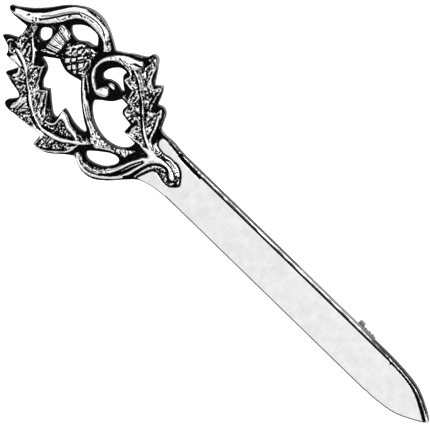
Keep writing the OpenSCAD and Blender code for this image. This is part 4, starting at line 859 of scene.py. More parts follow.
RIGHT_MARKS = [
    # The upper tip.
    (0, 0.8, 60.5, 48.2, 61.5, 48, 62.3, 47.1),
    (0, 0.6, 62.3, 47.1, 63.1, 45.6, 63.9, 43.8, 64.4, 42.4), (0, 0.5, 61.6, 45.6),
    (0, 0.55, 60, 43.6, 60.5, 43.4), (55, 0.4, 60.1, 46.2), (60, 0.35, 59.5, 41.8),
    (62, 0.35, 58, 40.6), (30, 0.35, 61.6, 43.4, 62.6, 42.6), (20, 0.35, 62, 41.4, 61.7, 39.4),
    (0, 0.5, 61.5, 38, 61.5, 37.4), (40, 0.3, 62.8, 42, 62.8, 39.8),
    (0, 0.4, 63.8, 39.7, 63.8, 37.8), (0, 0.5, 62.7, 37.6), (5, 0.4, 65.1, 38.4, 65.6, 36.4),
    (35, 0.32, 64.6, 35.4, 65.2, 34.4), (100, 0.6, 61, 44.7), (95, 0.5, 60.3, 47, 61, 46.9),
    (100, 0.45, 62.5, 44.2, 63.2, 42.8), (100, 0.75, 61, 42), (100, 0.8, 60.7, 40.4, 60.6, 38.8),
    (80, 0.3, 62.5, 41.4), (95, 0.36, 62.2, 38.6), (85, 0.26, 63.2, 39.4, 63.2, 37.8),
    (95, 0.36, 64.5, 38.4, 64.6, 36.8), (80, 0.28, 63.3, 41.2),
    (100, 0.55, 63, 47.8, 64.2, 45.2, 65, 42.6, 65.7, 40, 66.4, 37, 66.7, 35.2),
    (90, 0.4, 56.4, 34.8, 57.4, 35.5, 58.8, 36.1, 59.8, 37.2), (90, 0.4, 60.7, 37.6, 61.2, 36.8),
    (95, 0.4, 62.2, 37.2, 63.6, 36, 64.2, 35, 64.6, 33.8), (85, 0.36, 59.4, 34.6),
    (75, 0.32, 60.2, 33.4), (95, 0.38, 61.4, 35.2, 61.5, 33.4), (45, 0.3, 57.4, 33.9),
    (50, 0.26, 62.2, 33.4, 63, 32.6, 64, 32.4), (90, 0.36, 65.4, 33.7), (95, 0.36, 65, 31.8),
    (75, 0.28, 64.2, 32), (0, 0.6, 62.2, 35.8, 63, 34.2, 63.8, 33.4), (15, 0.36, 60.7, 34.1),
    (15, 0.4, 58, 33.5), (30, 0.26, 60.4, 37, 60.4, 36.2),
    # The midrib and the second tooth.
    (8, 0.36, 57.4, 32.8, 59, 32, 61, 30.9, 62.6, 30.1, 64, 28.8, 65, 27.6, 66, 26.6, 66.8, 25.4),
    (30, 0.34, 60.4, 32.4, 62.4, 31.6, 63.8, 30.4, 65, 28.7, 66, 27.4),
    (15, 0.4, 67, 27.2, 67.7, 26, 68.5, 25), (90, 0.34, 65.8, 29.2), (20, 0.34, 66.3, 28.4),
    (95, 0.42, 66.3, 30.9, 67, 29.2), (85, 0.25, 66, 32.2),
    (0, 0.48, 66.2, 33.6, 66.8, 31.9, 67.6, 30.5, 69, 30, 70.2, 30.4),
    (35, 0.3, 66.6, 34.4, 67.4, 33, 68.2, 31.7, 69.4, 31.5), (95, 0.36, 69.7, 29.8),
    (90, 0.4, 68.3, 28.8), (90, 0.32, 69.2, 28, 70.2, 28), (0, 0.6, 72.1, 35.6),
    (0, 0.55, 71.4, 31.6), (25, 0.35, 72, 34.4), (0, 0.36, 72.9, 31.9, 73.1, 30),
    (0, 0.4, 73.3, 28.7, 73.7, 26.8), (0, 0.45, 73.9, 25), (0, 0.5, 74.5, 22.2, 75.2, 20.2),
    (25, 0.36, 71.6, 33, 70.8, 31.6), (25, 0.5, 71.2, 29.4, 71.8, 29),
    (95, 0.36, 72.4, 31.6, 72.4, 29.8), (75, 0.3, 72.3, 33.6), (90, 0.34, 71.2, 28.2),
    (95, 0.36, 71.1, 27.2, 71, 26.2), (100, 0.38, 72.2, 28.2, 72.4, 26.6, 72.7, 25),
    (100, 0.42, 69.9, 27.4, 69.8, 25.6), (55, 0.3, 68.4, 26.4, 68.3, 25.2),
    (20, 0.32, 70.6, 27.8, 70.6, 26), (15, 0.34, 69.1, 27.2, 69.1, 25.8), (50, 0.36, 71.7, 27.2),
    (5, 0.42, 70.3, 24.7, 71, 24.4), (10, 0.36, 72, 25.4, 72.2, 24), (20, 0.36, 66.6, 25.6),
    (90, 0.32, 67.2, 24.4), (95, 0.42, 69.8, 24), (90, 0.36, 71.6, 23.8),
    (100, 0.45, 73, 25, 73.4, 22.6, 74, 20.4),
    # The inner side, from the scroll down.
    (90, 0.36, 57.8, 29.7), (95, 0.42, 59.2, 28.9), (95, 0.38, 60.2, 27.9, 60, 26.4),
    (90, 0.36, 61.4, 27.8), (100, 0.48, 59.7, 24), (95, 0.42, 62.6, 26.7),
    (70, 0.26, 61.4, 25.4, 60.8, 26.1), (85, 0.26, 63.5, 25, 63, 24), (95, 0.46, 64.8, 24.2),
    (70, 0.26, 63.1, 22.8), (5, 0.36, 57.4, 30.9), (5, 0.36, 62.4, 28), (5, 0.36, 60.9, 27),
    (25, 0.3, 59.9, 29), (25, 0.32, 61.9, 26.6, 61.6, 25), (20, 0.36, 60.6, 24.2, 61.6, 24.8),
    (5, 0.45, 62.8, 23.7, 62.4, 22.9), (20, 0.36, 64.3, 25, 64.4, 23.4),
    (5, 0.42, 65.6, 23.6, 65.2, 22.5), (30, 0.3, 62, 23.6),
    (0, 0.5, 64.3, 20.7, 64.6, 18.8, 64.9, 17), (100, 0.42, 65.2, 21.6, 65.3, 20, 65.4, 17.2),
    (25, 0.3, 66.1, 21.8, 65.9, 20, 66.5, 19.3, 66.9, 21.4), (85, 0.26, 66.3, 20.8),
    (5, 0.42, 66.6, 18.2, 66.7, 16.4), (100, 0.36, 67.3, 18.6, 67.3, 16.4),
    (30, 0.32, 68.2, 20.6, 67.7, 19.6, 68.1, 18), (15, 0.42, 68, 17), (80, 0.32, 68.5, 16.5),
    (100, 0.55, 68.7, 19.4, 69.6, 20.2, 69.4, 18.6), (62, 0.42, 62.2, 19.2),
    (20, 0.32, 63, 15.4), (0, 0.45, 63, 13.9, 64.6, 13.9),
    (0, 0.45, 65.6, 15.8, 65.6, 13.9, 67.2, 13.6), (95, 0.32, 66.4, 14.7),
    # The low inner edge.
    (0, 0.5, 68.6, 13.7, 69.5, 13.2, 69.8, 11.6, 69.5, 9.7), (95, 0.36, 68.8, 12),
    (90, 0.34, 70.2, 13.7), (15, 0.42, 70.9, 14.6, 71.4, 13.2, 71.4, 11), (75, 0.28, 71, 11.8),
    (100, 0.38, 70.3, 10), (10, 0.42, 68.2, 9, 68.5, 7.4, 68.9, 6.5),
    (5, 0.42, 69.3, 6.8, 70, 6.7), (90, 0.34, 69, 8), (95, 0.42, 70.5, 6),
    (20, 0.36, 71.4, 6.8, 71.3, 5.6), (30, 0.38, 72.6, 9.4), (35, 0.38, 73.2, 8, 73, 6.2),
    (95, 0.38, 72.2, 6.4), (85, 0.34, 70.7, 8.2), (100, 1, 72, 12, 73.4, 12.2, 74.4, 13),
    (20, 0.38, 73.8, 9.3, 75.4, 9, 76, 7.6), (85, 1, 74.5, 6.6, 75.2, 6.3),
    (35, 0.32, 74.4, 10.8), (0, 0.65, 75.9, 5.2, 75.8, 3.6, 75.9, 2.2), (25, 0.3, 76.7, 7.6),
    (95, 0.34, 77.3, 5.4), (5, 0.34, 77.9, 6.2), (25, 0.32, 77.4, 3.6), (95, 0.4, 78.4, 4.4),
    (90, 0.5, 79.6, 4.6), (5, 0.36, 77, 1.6, 78.3, 2.3, 79, 3.4, 80.4, 3.8),
    (20, 0.36, 80.9, 2.6), (95, 0.34, 77.7, 0.6), (5, 0.36, 77.1, 0.1),
    (90, 0.28, 78.6, 1.9, 78.9, 1), (95, 0.55, 79.6, 1.4, 79.5, 0.4),
    (100, 0.55, 81.2, 1.6, 81.6, 0.5), (90, 0.34, 78.4, -0.6), (20, 0.32, 82, 2.2),
    (95, 0.42, 82.4, 2.9, 83.8, 1.6, 85, 0.6), (45, 0.4, 83.4, 0.5), (60, 0.4, 86.2, 0.4),
    # The foot and the third tooth.
    (0, 0.6, 75.5, -1.9, 77, -1.9, 79, -1.6, 81, -1.1, 83, -0.9, 85, -1.2),
    (85, 0.22, 75.2, 13, 77, 11, 78.6, 9.2, 79.8, 7.6),
    (95, 0.42, 74.4, 12, 76, 10, 77.4, 7.9, 79, 5.8, 80.4, 4.4, 81.8, 3.5),
    (90, 0.38, 77.3, 16.6), (55, 0.32, 76.3, 17.4), (90, 0.34, 75.5, 16.2), (85, 0.32, 76.2, 15),
    (10, 0.55, 77.4, 15, 77.6, 12.4), (90, 0.34, 77, 13.3), (5, 0.38, 78.6, 23, 78.5, 21.4),
    (95, 0.32, 78.3, 16.2, 78.4, 12.6), (55, 0.3, 78.8, 18.4, 78.8, 16),
    (5, 0.36, 79.4, 15.8, 79.7, 14), (30, 0.24, 78.8, 13.6, 78.8, 11),
    (95, 0.36, 79.6, 11.8, 79.5, 10.6), (10, 0.38, 80.2, 11.2, 80.4, 10),
    (15, 0.42, 81.2, 9.2, 81.6, 7.2), (90, 0.28, 81, 8.1), (25, 0.36, 79.4, 9.4, 80.1, 8.7),
    (100, 0.5, 79.4, 22, 79.5, 20.4, 80.2, 18, 81, 15.6, 81.8, 12.6, 82.4, 10, 82.8, 8, 83.4, 6.2),
    (0, 0.55, 78.8, 24.5, 79.8, 22.8, 80.9, 20.9),
    (0, 0.5, 79.8, 20.5, 80.6, 18, 81.6, 15.4, 82.4, 13),
    (0, 0.65, 82.4, 13, 83, 10.4, 83.6, 8.2), (5, 0.42, 83.6, 8.2, 84.2, 6.4, 85, 5.1),
    (100, 0.6, 81.4, 21.8, 82.3, 18, 83.3, 14, 84, 10.6, 84.6, 7.6),
    (20, 0.45, 83.4, 5, 84.4, 3.2), (80, 0.35, 84.5, 4.2), (30, 0.3, 85.4, 5.6, 86.6, 4),
]
BAND_MARKS = [
    # The band under the big opening.
    (30, 0.3, 58, -11, 59.6, -12.6, 61, -13.6),
    (10, 0.4, 58.4, -13.6, 60, -14.3, 61.4, -15.4, 62.8, -16.6, 64.4, -17.4),
    (55, 0.3, 58.4, -15, 60, -16.3, 61, -17.2), (5, 0.32, 59.3, -13), (60, 0.36, 62, -12.8),
    (0, 0.5, 66.8, -15.8), (0, 0.5, 65.8, -17, 67.4, -17.8), (0, 0.42, 68.2, -16.4),
    (20, 0.32, 68.8, -17.8), (0, 0.42, 64.4, -19.4, 65.8, -19.4), (15, 0.42, 63.6, -17.8),
    (0, 0.5, 69.2, -19.2, 70, -20.2), (20, 0.42, 71.4, -18, 72.2, -19.2),
    (0, 0.42, 70.6, -20.6, 73, -19.6), (20, 0.36, 67.8, -21),
    (15, 0.42, 68, -22.4, 69, -22.2, 70.6, -20.8), (0, 0.5, 66, -22.4), (15, 0.36, 66.6, -24.6),
    (0, 0.5, 64, -23.4, 64.9, -25), (0, 0.42, 73.4, -15.4, 73, -17),
    (0, 0.38, 74.5, -14.1, 74.5, -14.9), (0, 0.42, 73.4, -17.9, 75.4, -16.8),
    (0, 0.52, 76.8, -13.4, 77.2, -15.6), (25, 0.42, 76.4, -12.4),
    (15, 0.38, 78.4, -12, 78.8, -13.6),
    (20, 0.32, 80, -10.6, 81.4, -11.6, 80.8, -13.4, 79.9, -12.4), (75, 0.28, 80.4, -11.8),
    (55, 0.6, 79.8, -15.4), (15, 0.38, 82.1, -9.2, 82.3, -8.4), (15, 0.32, 82.8, -7.2),
    (95, 0.3, 77.9, -13.4), (60, 0.4, 84.6, -4.8), (60, 0.5, 85.4, -6.6),
    (58, 0.35, 85.8, -5, 86.2, -4), (60, 0.4, 84.4, -10),
    # The ribbon loop.
    (5, 0.5, 80, -27.6), (70, 0.32, 80.5, -28.5), (50, 0.28, 81.3, -27.3),
    (0, 0.5, 80, -30, 81.4, -28.8), (90, 0.34, 80, -31), (5, 0.65, 78.5, -30.6, 77.9, -32),
    (20, 0.36, 76.4, -32.6), (20, 0.4, 75.2, -33.6), (20, 0.4, 76.4, -34.4, 77.8, -34.8),
    (80, 0.32, 76.7, -35.1), (75, 0.32, 78.2, -33.3), (5, 0.36, 74, -35, 72.6, -36, 71, -36.5),
    (45, 0.3, 71.4, -34.4, 71.4, -36), (35, 0.3, 69, -36.6, 72, -37.2, 75, -36.6),
    (25, 0.3, 69.4, -37.9, 72, -37.9, 75, -37, 78, -35.2), (0, 0.5, 65.3, -34.4, 65.3, -35.4),
    (45, 0.4, 66.2, -33.5), (25, 0.32, 64.8, -36.6), (55, 0.5, 67, -35, 68, -36.4),
    (60, 0.4, 68.8, -35.4),
]
TUFT_MARKS = [
    (90, 0.3, 23.5, 15.6, 24.6, 15.3, 25.2, 15), (65, 0.25, 25.2, 15, 27, 14.8),
    (90, 0.28, 23.2, 13.9, 25, 13.7, 26.4, 13.4),
    (100, 0.34, 26.4, 13.4, 27.6, 13.2, 28.8, 13.2), (45, 0.24, 24, 11.9, 26, 12),
    (50, 0.22, 23.4, 10.7, 28.6, 10.6), (85, 0.28, 24.3, 10.6),
    (60, 0.24, 24, 9.3, 24.6, 9.2, 25.4, 9.6, 27.4, 9.6), (35, 0.3, 24.8, 7.8, 25.4, 7.6),
    (45, 0.3, 27.2, 7.9), (70, 0.3, 27.2, 6.5, 28.8, 7),
    (90, 0.32, 24, 4.7, 24.8, 5, 25.8, 5.6, 27, 6.3), (55, 0.24, 23.4, 3.5, 24.6, 3.6, 26, 4.2),
    (70, 0.26, 22.4, 17.2, 23.2, 17.2), (90, 0.34, 22.1, 15.7), (80, 0.34, 27.6, 16.9),
    (75, 0.28, 28.2, 18.2), (45, 0.3, 24.7, 17.4), (35, 0.3, 25.9, 16.8),
    (40, 0.25, 28.3, 14.2, 28.6, 15), (40, 0.32, 22.5, 20.2, 21.9, 19.3),
    (35, 0.5, 23.6, 20.3, 24.6, 19.2), (45, 0.42, 24.6, 19.9, 25.6, 19.2), (0, 0.45, 23.2, -2),
    (25, 0.32, 23.6, -0.8, 24.1, 0.1, 24.7, -0.7, 24.1, -1.6),
    (10, 0.5, 25.3, 0, 26.4, 0.6, 27.2, 1.3), (35, 0.5, 27.2, 1.3, 28.4, 2.4),
    (30, 0.36, 29.3, 5.2), (35, 0.45, 29.6, 2.7), (58, 0.5, 19.2, 14.4, 21, 14.4),
    (65, 0.4, 20.8, 15.8), (60, 0.32, 20.9, 17.2), (62, 0.5, 25.6, 22), (62, 0.42, 20.8, 1),
    (55, 0.5, 17.2, 2.1, 17.8, 1.5), (50, 0.6, 19, 1.2, 19.5, 0.8), (62, 0.4, 23.4, -6.5),
    (65, 0.4, 26.1, -6.6), (65, 0.4, 26, -8.4, 25.9, -10.4),
]
TAIL_MARKS = [
    (50, 0.3, 88.4, 4.1), (80, 0.36, 89.4, 2.6), (90, 0.3, 90.9, 4.2, 90.8, 2.9),
    (90, 0.36, 90.4, 2.2), (80, 0.3, 92, 4.2, 92, 2.6), (90, 0.3, 91.9, 1.8, 91.3, 0.8),
    (80, 0.5, 93, 3.1, 94.4, 3.1, 95, 3.7), (90, 0.45, 96.5, 4.5, 96.2, 3.8),
    (85, 0.24, 93, 1.4, 95, 1.9, 97, 2.1, 99, 1.8, 100.2, 1.3), (50, 0.28, 97.6, 4.3, 99, 4),
    (70, 0.4, 102.8, 2.4), (60, 0.3, 102.2, 1.4), (85, 0.4, 103.4, 0.6),
    (80, 0.32, 104.2, 0, 104, -1.2), (100, 0.42, 101.2, 0.8),
    (100, 0.42, 103.4, -1, 103.6, -1.8), (80, 0.3, 102.4, -0.4), (40, 0.24, 101.4, -1),
    (100, 0.32, 95.2, -4.6, 95, -5.5), (100, 0.34, 96.2, -4.1, 95.9, -5), (80, 0.34, 97.6, -3.6),
    (90, 0.36, 97.4, -5.2), (80, 0.34, 98.6, -5.6), (100, 0.42, 95, -6.8),
    (90, 0.38, 98.6, -7.2), (80, 0.42, 100, -7.8), (85, 0.42, 102, -6.8),
    (75, 0.36, 102.4, -8.4, 104, -8), (85, 0.5, 105, -6, 106, -5.6),
    (90, 0.42, 105.2, -1.8, 105, -3), (60, 0.32, 94.4, -6.4), (50, 0.42, 99.4, -4),
    (40, 0.32, 100.4, -4.4), (50, 0.32, 101, -7), (60, 0.4, 104.2, -4.6), (55, 0.3, 99.8, -6.2),
    (50, 0.3, 96.6, -6.4), (45, 0.3, 103.4, -6.6),
]

# Painted shade: grey or black strips on the low ground along the casting's edges. Columns as above.
EDGE_SHADE_MARKS = [
    (100, 0.9, 5, 9, 7.5, 11.6, 10, 14.8, 12.5, 19, 15, 24.6, 17.5, 29.8, 20, 34.2, 22.5, 37.4,
     25, 39.6),
    (50, 0.6, 67.2, 37.6, 68, 35.6, 68.8, 34.4),
    (50, 0.45, 80.4, 26, 81.6, 23.6, 82.2, 21, 82.8, 18, 83.6, 15.6),
    (50, 0.5, 49.4, 34.9, 51, 36.7, 53, 38.3, 55, 39.8, 57, 41.4),
]

# The bulb's whole scales, as outlines, and then its broken ones, as marks.
BULB_SCALES = [
    [(34.7, 7.7), (35.5, 5), (34.4, 3), (33.1, 4.9)],
    [(36.4, 10.2), (37.1, 8.6), (36.2, 6.3), (35.2, 8.1)],
    [(36.9, 4.4), (38.2, 2), (37.2, 1.2), (36, 2)],
    [(38.2, 6.6), (39.6, 4.6), (38.6, 3.4), (37.2, 5.2)],
    [(40.3, 11), (41.3, 9), (40.2, 6.4), (39, 8.7)],
    [(40.2, 4.1), (41, 2.8), (40.4, 1.8), (39.3, 2.7)],
    [(35.4, 15.6), (36.6, 15.2), (36.3, 14), (35.6, 13.3), (34.9, 14.8)],
]
BULB_MARKS = [
    (40, 0.38, 30.1, 14.6, 31.4, 12.8), (15, 0.65, 30, 13, 31.2, 12.4),
    (5, 0.48, 31.5, 12.1, 30.5, 10.6), (10, 0.45, 31.8, 12.6, 32.1, 14),
    (0, 0.65, 32.1, 14.6, 33, 15.3), (5, 0.95, 33.2, 15.6, 33.6, 17.6),
    (10, 0.75, 33.7, 17.8, 34.3, 19.3), (10, 0.5, 34.4, 19.5, 35.5, 19.5),
    (85, 0.35, 34.5, 18.7), (45, 0.45, 35.8, 22, 35.5, 20.8), (45, 0.4, 31.7, 16.5),
    (45, 0.32, 36.3, 20.4), (20, 0.42, 35.7, 15.2, 35.9, 17.5), (30, 0.4, 35.4, 16.4),
    (5, 0.5, 34.1, 13.9, 33.9, 12.2, 34.1, 10.5), (45, 0.7, 34.9, 12.4, 35.2, 11),
    (15, 0.4, 35.7, 12.1), (20, 0.4, 34.9, 10.6), (5, 0.55, 32.2, 11.7, 32.7, 10.5),
    (5, 0.55, 32.2, 9.9, 31.8, 7.9), (20, 0.38, 32.5, 8.8, 34, 9.1),
    (45, 0.4, 33.4, 8.1, 32.4, 8.2), (5, 0.6, 37.3, 11.2, 38.2, 13.5), (40, 0.42, 37.9, 9.4),
    (45, 0.42, 38.5, 10.2, 39.5, 12.2), (40, 0.4, 39.5, 12.6), (5, 0.45, 39.3, 15.3, 39.3, 14.3),
    (30, 0.35, 38.6, 13.2), (15, 0.4, 37.4, 18.6, 37.4, 14.6), (5, 0.5, 37, 18.9, 38.2, 18.9),
    (45, 0.35, 37.3, 19.8, 38, 20.7, 38.9, 19.9, 39.4, 18.7), (20, 0.55, 38.9, 21.4, 39.8, 21.3),
    (30, 0.32, 40.4, 20.8, 40.7, 22.1), (20, 0.55, 41.4, 22.9), (40, 0.42, 41.5, 21.6),
    (5, 0.5, 41.3, 20, 40.8, 19.4), (45, 0.38, 40.4, 19, 41.6, 18.9, 42.2, 17.8),
    (20, 0.45, 41.1, 17.5), (35, 0.42, 39.9, 16.9), (15, 0.42, 41.1, 15.9, 42.2, 15.2),
    (30, 0.35, 40.2, 14.2, 40.9, 15.1), (30, 0.42, 41.4, 13.8), (5, 0.5, 41.3, 12.6, 41.6, 10.8),
    (20, 0.4, 41.8, 10.4, 41.7, 8.4, 41.2, 6.2),
    (25, 0.36, 42.2, 14.3, 43, 13.5, 43.6, 12, 43.6, 10.2, 43.4, 8.8),
    (0, 0.42, 43.2, 8.3, 43.9, 7.4, 43.8, 6.1), (10, 0.42, 43.8, 6, 42.9, 5.8, 42.6, 7),
    (100, 0.38, 43.2, 6.9), (0, 0.48, 42.8, 5.6, 41.8, 4.5), (20, 0.45, 44.6, 5.3, 43.7, 4.3),
    (55, 0.32, 42.4, 9.2, 42.7, 10.8), (75, 0.32, 44, 8.4), (30, 0.4, 32.3, 4.2),
    (35, 0.42, 30.9, 5.7), (62, 0.38, 30.6, 7), (60, 0.45, 32.4, 6.6), (55, 0.36, 35.5, 3.3),
    (40, 0.34, 38.3, 7.4), (15, 0.36, 36.2, 5.2), (80, 0.28, 38.1, 5.1), (45, 0.4, 40.4, 11.2),
    (40, 0.35, 39, 6, 39.9, 5.4), (20, 0.45, 45, 7.6, 46, 5.8), (30, 0.4, 44.4, 9, 45.2, 7.8),
]


# Fields of fine strokes. Columns: outline, level, seed, the strokes' direction in degrees, how
# long they are for their width, and how much brighter than half black the field is.
FIELDS = [
    (LEFT_FIELD_HEAD, 70, 11, -78, 3.0, 0.0), (LEFT_FIELD_SPUR, 68, 12, -55, 1.8, 0.1),
    (LEFT_FIELD_LOW, 62, 13, -75, 2.0, 0.0), (LEFT_FIELD_TRIANGLE, 62, 14, -50, 1.6, -0.1),
    (LEFT_FIELD_LOBE, 62, 15, -80, 2.4, 0.1), (RIGHT_FIELD_TIP, 68, 16, 85, 1.8, 0.1),
    (RIGHT_FIELD_INNER, 68, 17, 70, 1.2, 0.1), (RIGHT_FIELD_OUTER, 70, 18, -70, 2.4, 0.1),
    (HATCHED_BAND, 70, 19, -60, 1.8, 0.25), (LOOP_FLECKS, 80, 20, -40, 1.6, 0.3),
    (NECK_FIELD, 45, 21, -85, 2.6, -0.1), (LEAF_END_FIELD, 40, 22, -40, 1.6, -0.3),
]
FLECKED_PADS = [
    (TAIL_FLECKS, 105, 23, 60, 1.6, 0.15), (TAIL_HATCH, 105, 24, 90, 2.2, 0.5),
    (TOP_LEAF_END, 96, 25, 50, 1.8, 0.55),
]

# Bright forms, from the lowest to the highest. Columns: outline and level.
PADS = [
    (TUFT, 85), (TOP_LEAF, 105), (SCROLL_LIP, 80), (LEAF_HUB, 95), (LOWER_EDGE, 75),
    (LOBE_EDGE, 75), (RIGHT_BLOB, 90), (WHITE_TOOTH, 100), (TAIL, 112), (JUNCTION, 130),
    (SCROLL, 140),
]


def head_point(along, across):
    """A place given in hundredths of the head, in millimetres."""
    return (along / 100 - 1) * HEAD_LENGTH, across / 100 * HEAD_WIDTH + HEAD_OFFSET


def bend(a, b, c, d, t):
    """A smooth curve through b and c, shaped by their neighbours a and d."""
    return (2 * b + (c - a) * t + (2 * a - 5 * b + 4 * c - d) * t * t
            + (3 * b - a - 3 * c + d) * t * t * t) / 2


def outline(rows):
    """A closed outline through the rows, curved between sharp corners."""
    rows = np.array([(*row, 0)[:3] for row in rows], float)
    points = []
    for i, b in enumerate(rows):
        c = rows[(i + 1) % len(rows)]
        a = b if b[2] == 1 else rows[i - 1]
        d = c if c[2] == 1 else rows[(i + 2) % len(rows)]
        steps = 1 if b[2] == 1 and c[2] == 1 else CURVE_STEPS
        points += [head_point(*bend(a, b, c, d, k / steps)[:2]) for k in range(steps)]
    return np.array(points)


def blade_outline():
    """The blade's outline, from under the head to its tip and back."""
    half = [(along / 100 * BLADE_LENGTH, across / 200 * BLADE_WIDTH) for along, across in BLADE]
    foot = [(x, y + FOOT * min(1, y / 0.6)) for x, y in half]
    return np.array(foot + [(x, -y) for x, y in half[::-1]])


@functools.cache
def lean_angle():
    """How far the pin leans so that its findings and its lowest tooth touch the surface."""
    tooth = outline(HEAD)[:, 1].min() - EDGE_SWELL
    reach = math.hypot(FINDING_OFFSET - tooth, FINDING_DEPTH)
    return math.atan2(FINDING_DEPTH, FINDING_OFFSET - tooth) + math.asin(BARREL_R / reach)


def lying():
    """The move from the flat pin in millimetres to where it lies, in metres."""
    lean = lean_angle()
    tooth = outline(HEAD)[:, 1].min() - EDGE_SWELL
    low = tooth * math.cos(lean) - (PLATE + LOBE_SHARE * RELIEF) * math.sin(lean)
    high = (outline(HEAD)[:, 1].max() + EDGE_SWELL) * math.cos(lean)
    place = Matrix.Translation((
        (HEAD_LENGTH - BLADE_LENGTH) / 2, -(low + high) / 2, -tooth * math.sin(lean)))
    return Matrix.Scale(MM, 4) @ place @ Matrix.Rotation(lean, 4, "X")


def drawn(rows, level):
    """Rows drawn as seen from above, moved to where a form of that level stands on the pin."""
    lift = math.tan(lean_angle()) * level * RELIEF / HEAD_WIDTH * FLANK_SHARE
    return [(row[0], row[1] + lift, *row[2:]) for row in rows]


def stroke(rows, level):
    """A smooth open line through drawn rows, in millimetres."""
    rows = np.array(drawn(rows, level))
    last = len(rows) - 1
    fine = [
        bend(rows[max(i - 1, 0)], rows[i], rows[i + 1], rows[min(i + 2, last)], k / CURVE_STEPS)
        for i in range(last) for k in range(CURVE_STEPS)
    ]
    return np.array([head_point(*place) for place in fine + [rows[last]]])


def apart(x, y, a, b):
    """The squared distance of each point from the straight line between two places."""
    dx, dy = b[0] - a[0], b[1] - a[1]
    t = np.clip(((x - a[0]) * dx + (y - a[1]) * dy) / (dx * dx + dy * dy), 0, 1)
    return (x - a[0] - t * dx) ** 2 + (y - a[1] - t * dy) ** 2


def depth_inside(x, y, edge):
    """How far each point lies inside a closed outline, negative outside it."""
    near = np.full(x.shape, 1e9)
    odd = np.zeros(x.shape, bool)
    for a, b in zip(edge, np.roll(edge, -1, axis=0)):
        near = np.minimum(near, apart(x, y, a, b))
        if b[1] != a[1]:
            crossing = (y - a[1]) * (b[0] - a[0]) / (b[1] - a[1]) + a[0]
            odd ^= ((a[1] > y) != (b[1] > y)) & (x < crossing)
    return np.where(odd, 1, -1) * np.sqrt(near)


def beside(x, y, places):
    """How far each point lies from an open line, or from a single place."""
    near = (x - places[0][0]) ** 2 + (y - places[0][1]) ** 2
    for a, b in zip(places[:-1], places[1:]):
        near = np.minimum(near, apart(x, y, a, b))
    return np.sqrt(near)


def step(low, high, value):
    """A smooth step from 0 at low to 1 at high."""
    t = np.clip((value - low) / (high - low), 0, 1)
    return t * t * (3 - 2 * t)


def grain(x, y, pitch, seed, turn=0.0, stretch=1.0):
    """Smooth seeded noise from -1 to 1 with bumps of the given pitch, drawn out along a direction."""
    table = np.random.default_rng(seed).uniform(-1, 1, (97, 89))
    c, s = math.cos(math.radians(turn)), math.sin(math.radians(turn))
    u = (x * c + y * s) / pitch / stretch + 500
    v = (y * c - x * s) / pitch + 500
    i, j = np.floor(u).astype(int), np.floor(v).astype(int)
    fu, fv = step(0, 1, u - i), step(0, 1, v - j)
    corner = [[table[(i + a) % 97, (j + b) % 89] for b in (0, 1)] for a in (0, 1)]
    low = corner[0][0] * (1 - fu) + corner[1][0] * fu
    high = corner[0][1] * (1 - fu) + corner[1][1] * fu
    return low * (1 - fv) + high * fv


def bare_plate(x, y):
    """The ground between the forms, black with a few grey specks, and the blade's face on it, with
    painted shade along the face's flanks.
    """
    rough = grain(x, y, 0.35, 3)
    height = PLATE + 0.05 * rough + 0.03 * grain(x, y, 0.2, 4)
    black = 1 - GROUND_SPECKS * step(0.35, 0.8, grain(x, y, 0.2, 5))
    along = (x / HEAD_LENGTH + 1) * 100
    on_ledge = (along > LEDGE_STARTS) & ((y > 0) | (along > LOW_LEDGE_STARTS))
    black = np.where(on_ledge, 0.12 + 0.1 * rough, black)
    root = depth_inside(x, y, outline(FACE_ROOT))
    blade = depth_inside(x, y, blade_outline()) - LEDGE - FOOT * (y > 0)
    face = np.where(along > ROOT_ENDS, blade, root)
    height = np.where(face > 0, PLATE + FACE_RISE * step(0, FACE_STEP, face), height)
    # Painted shade: a black line along the face's flanks, standing for their dark reflection; wider on
    # the lower side, thin at the root above, and wider towards the tip above.
    line = FACE_STEP + TIP_SHADE_LINE * step(*TIP_SHADE_LINE_GROWS, x) * (y > 0)
    thin_end = head_point(ROOT_SHADE_LINE_ENDS, 0)[0]
    thin = step(thin_end + 0.5, thin_end, x)
    line = np.where(y > 0, line + (ROOT_SHADE_LINE - line) * thin, line + LOW_SHADE_LINE)
    side = step(-0.03, 0.03, face) * step(line + 0.04, line - 0.04, face)
    side = side * np.where(y > 0, 1.0, 0.9)
    black = np.where(face > FACE_STEP, side, np.maximum(black, side))
    nick = np.hypot(x - NICK[0], y - NICK[1])
    black = np.maximum(black, step(*NICK_RADII, nick))
    satin = step(line, line + 0.05, face)
    return height, black, satin


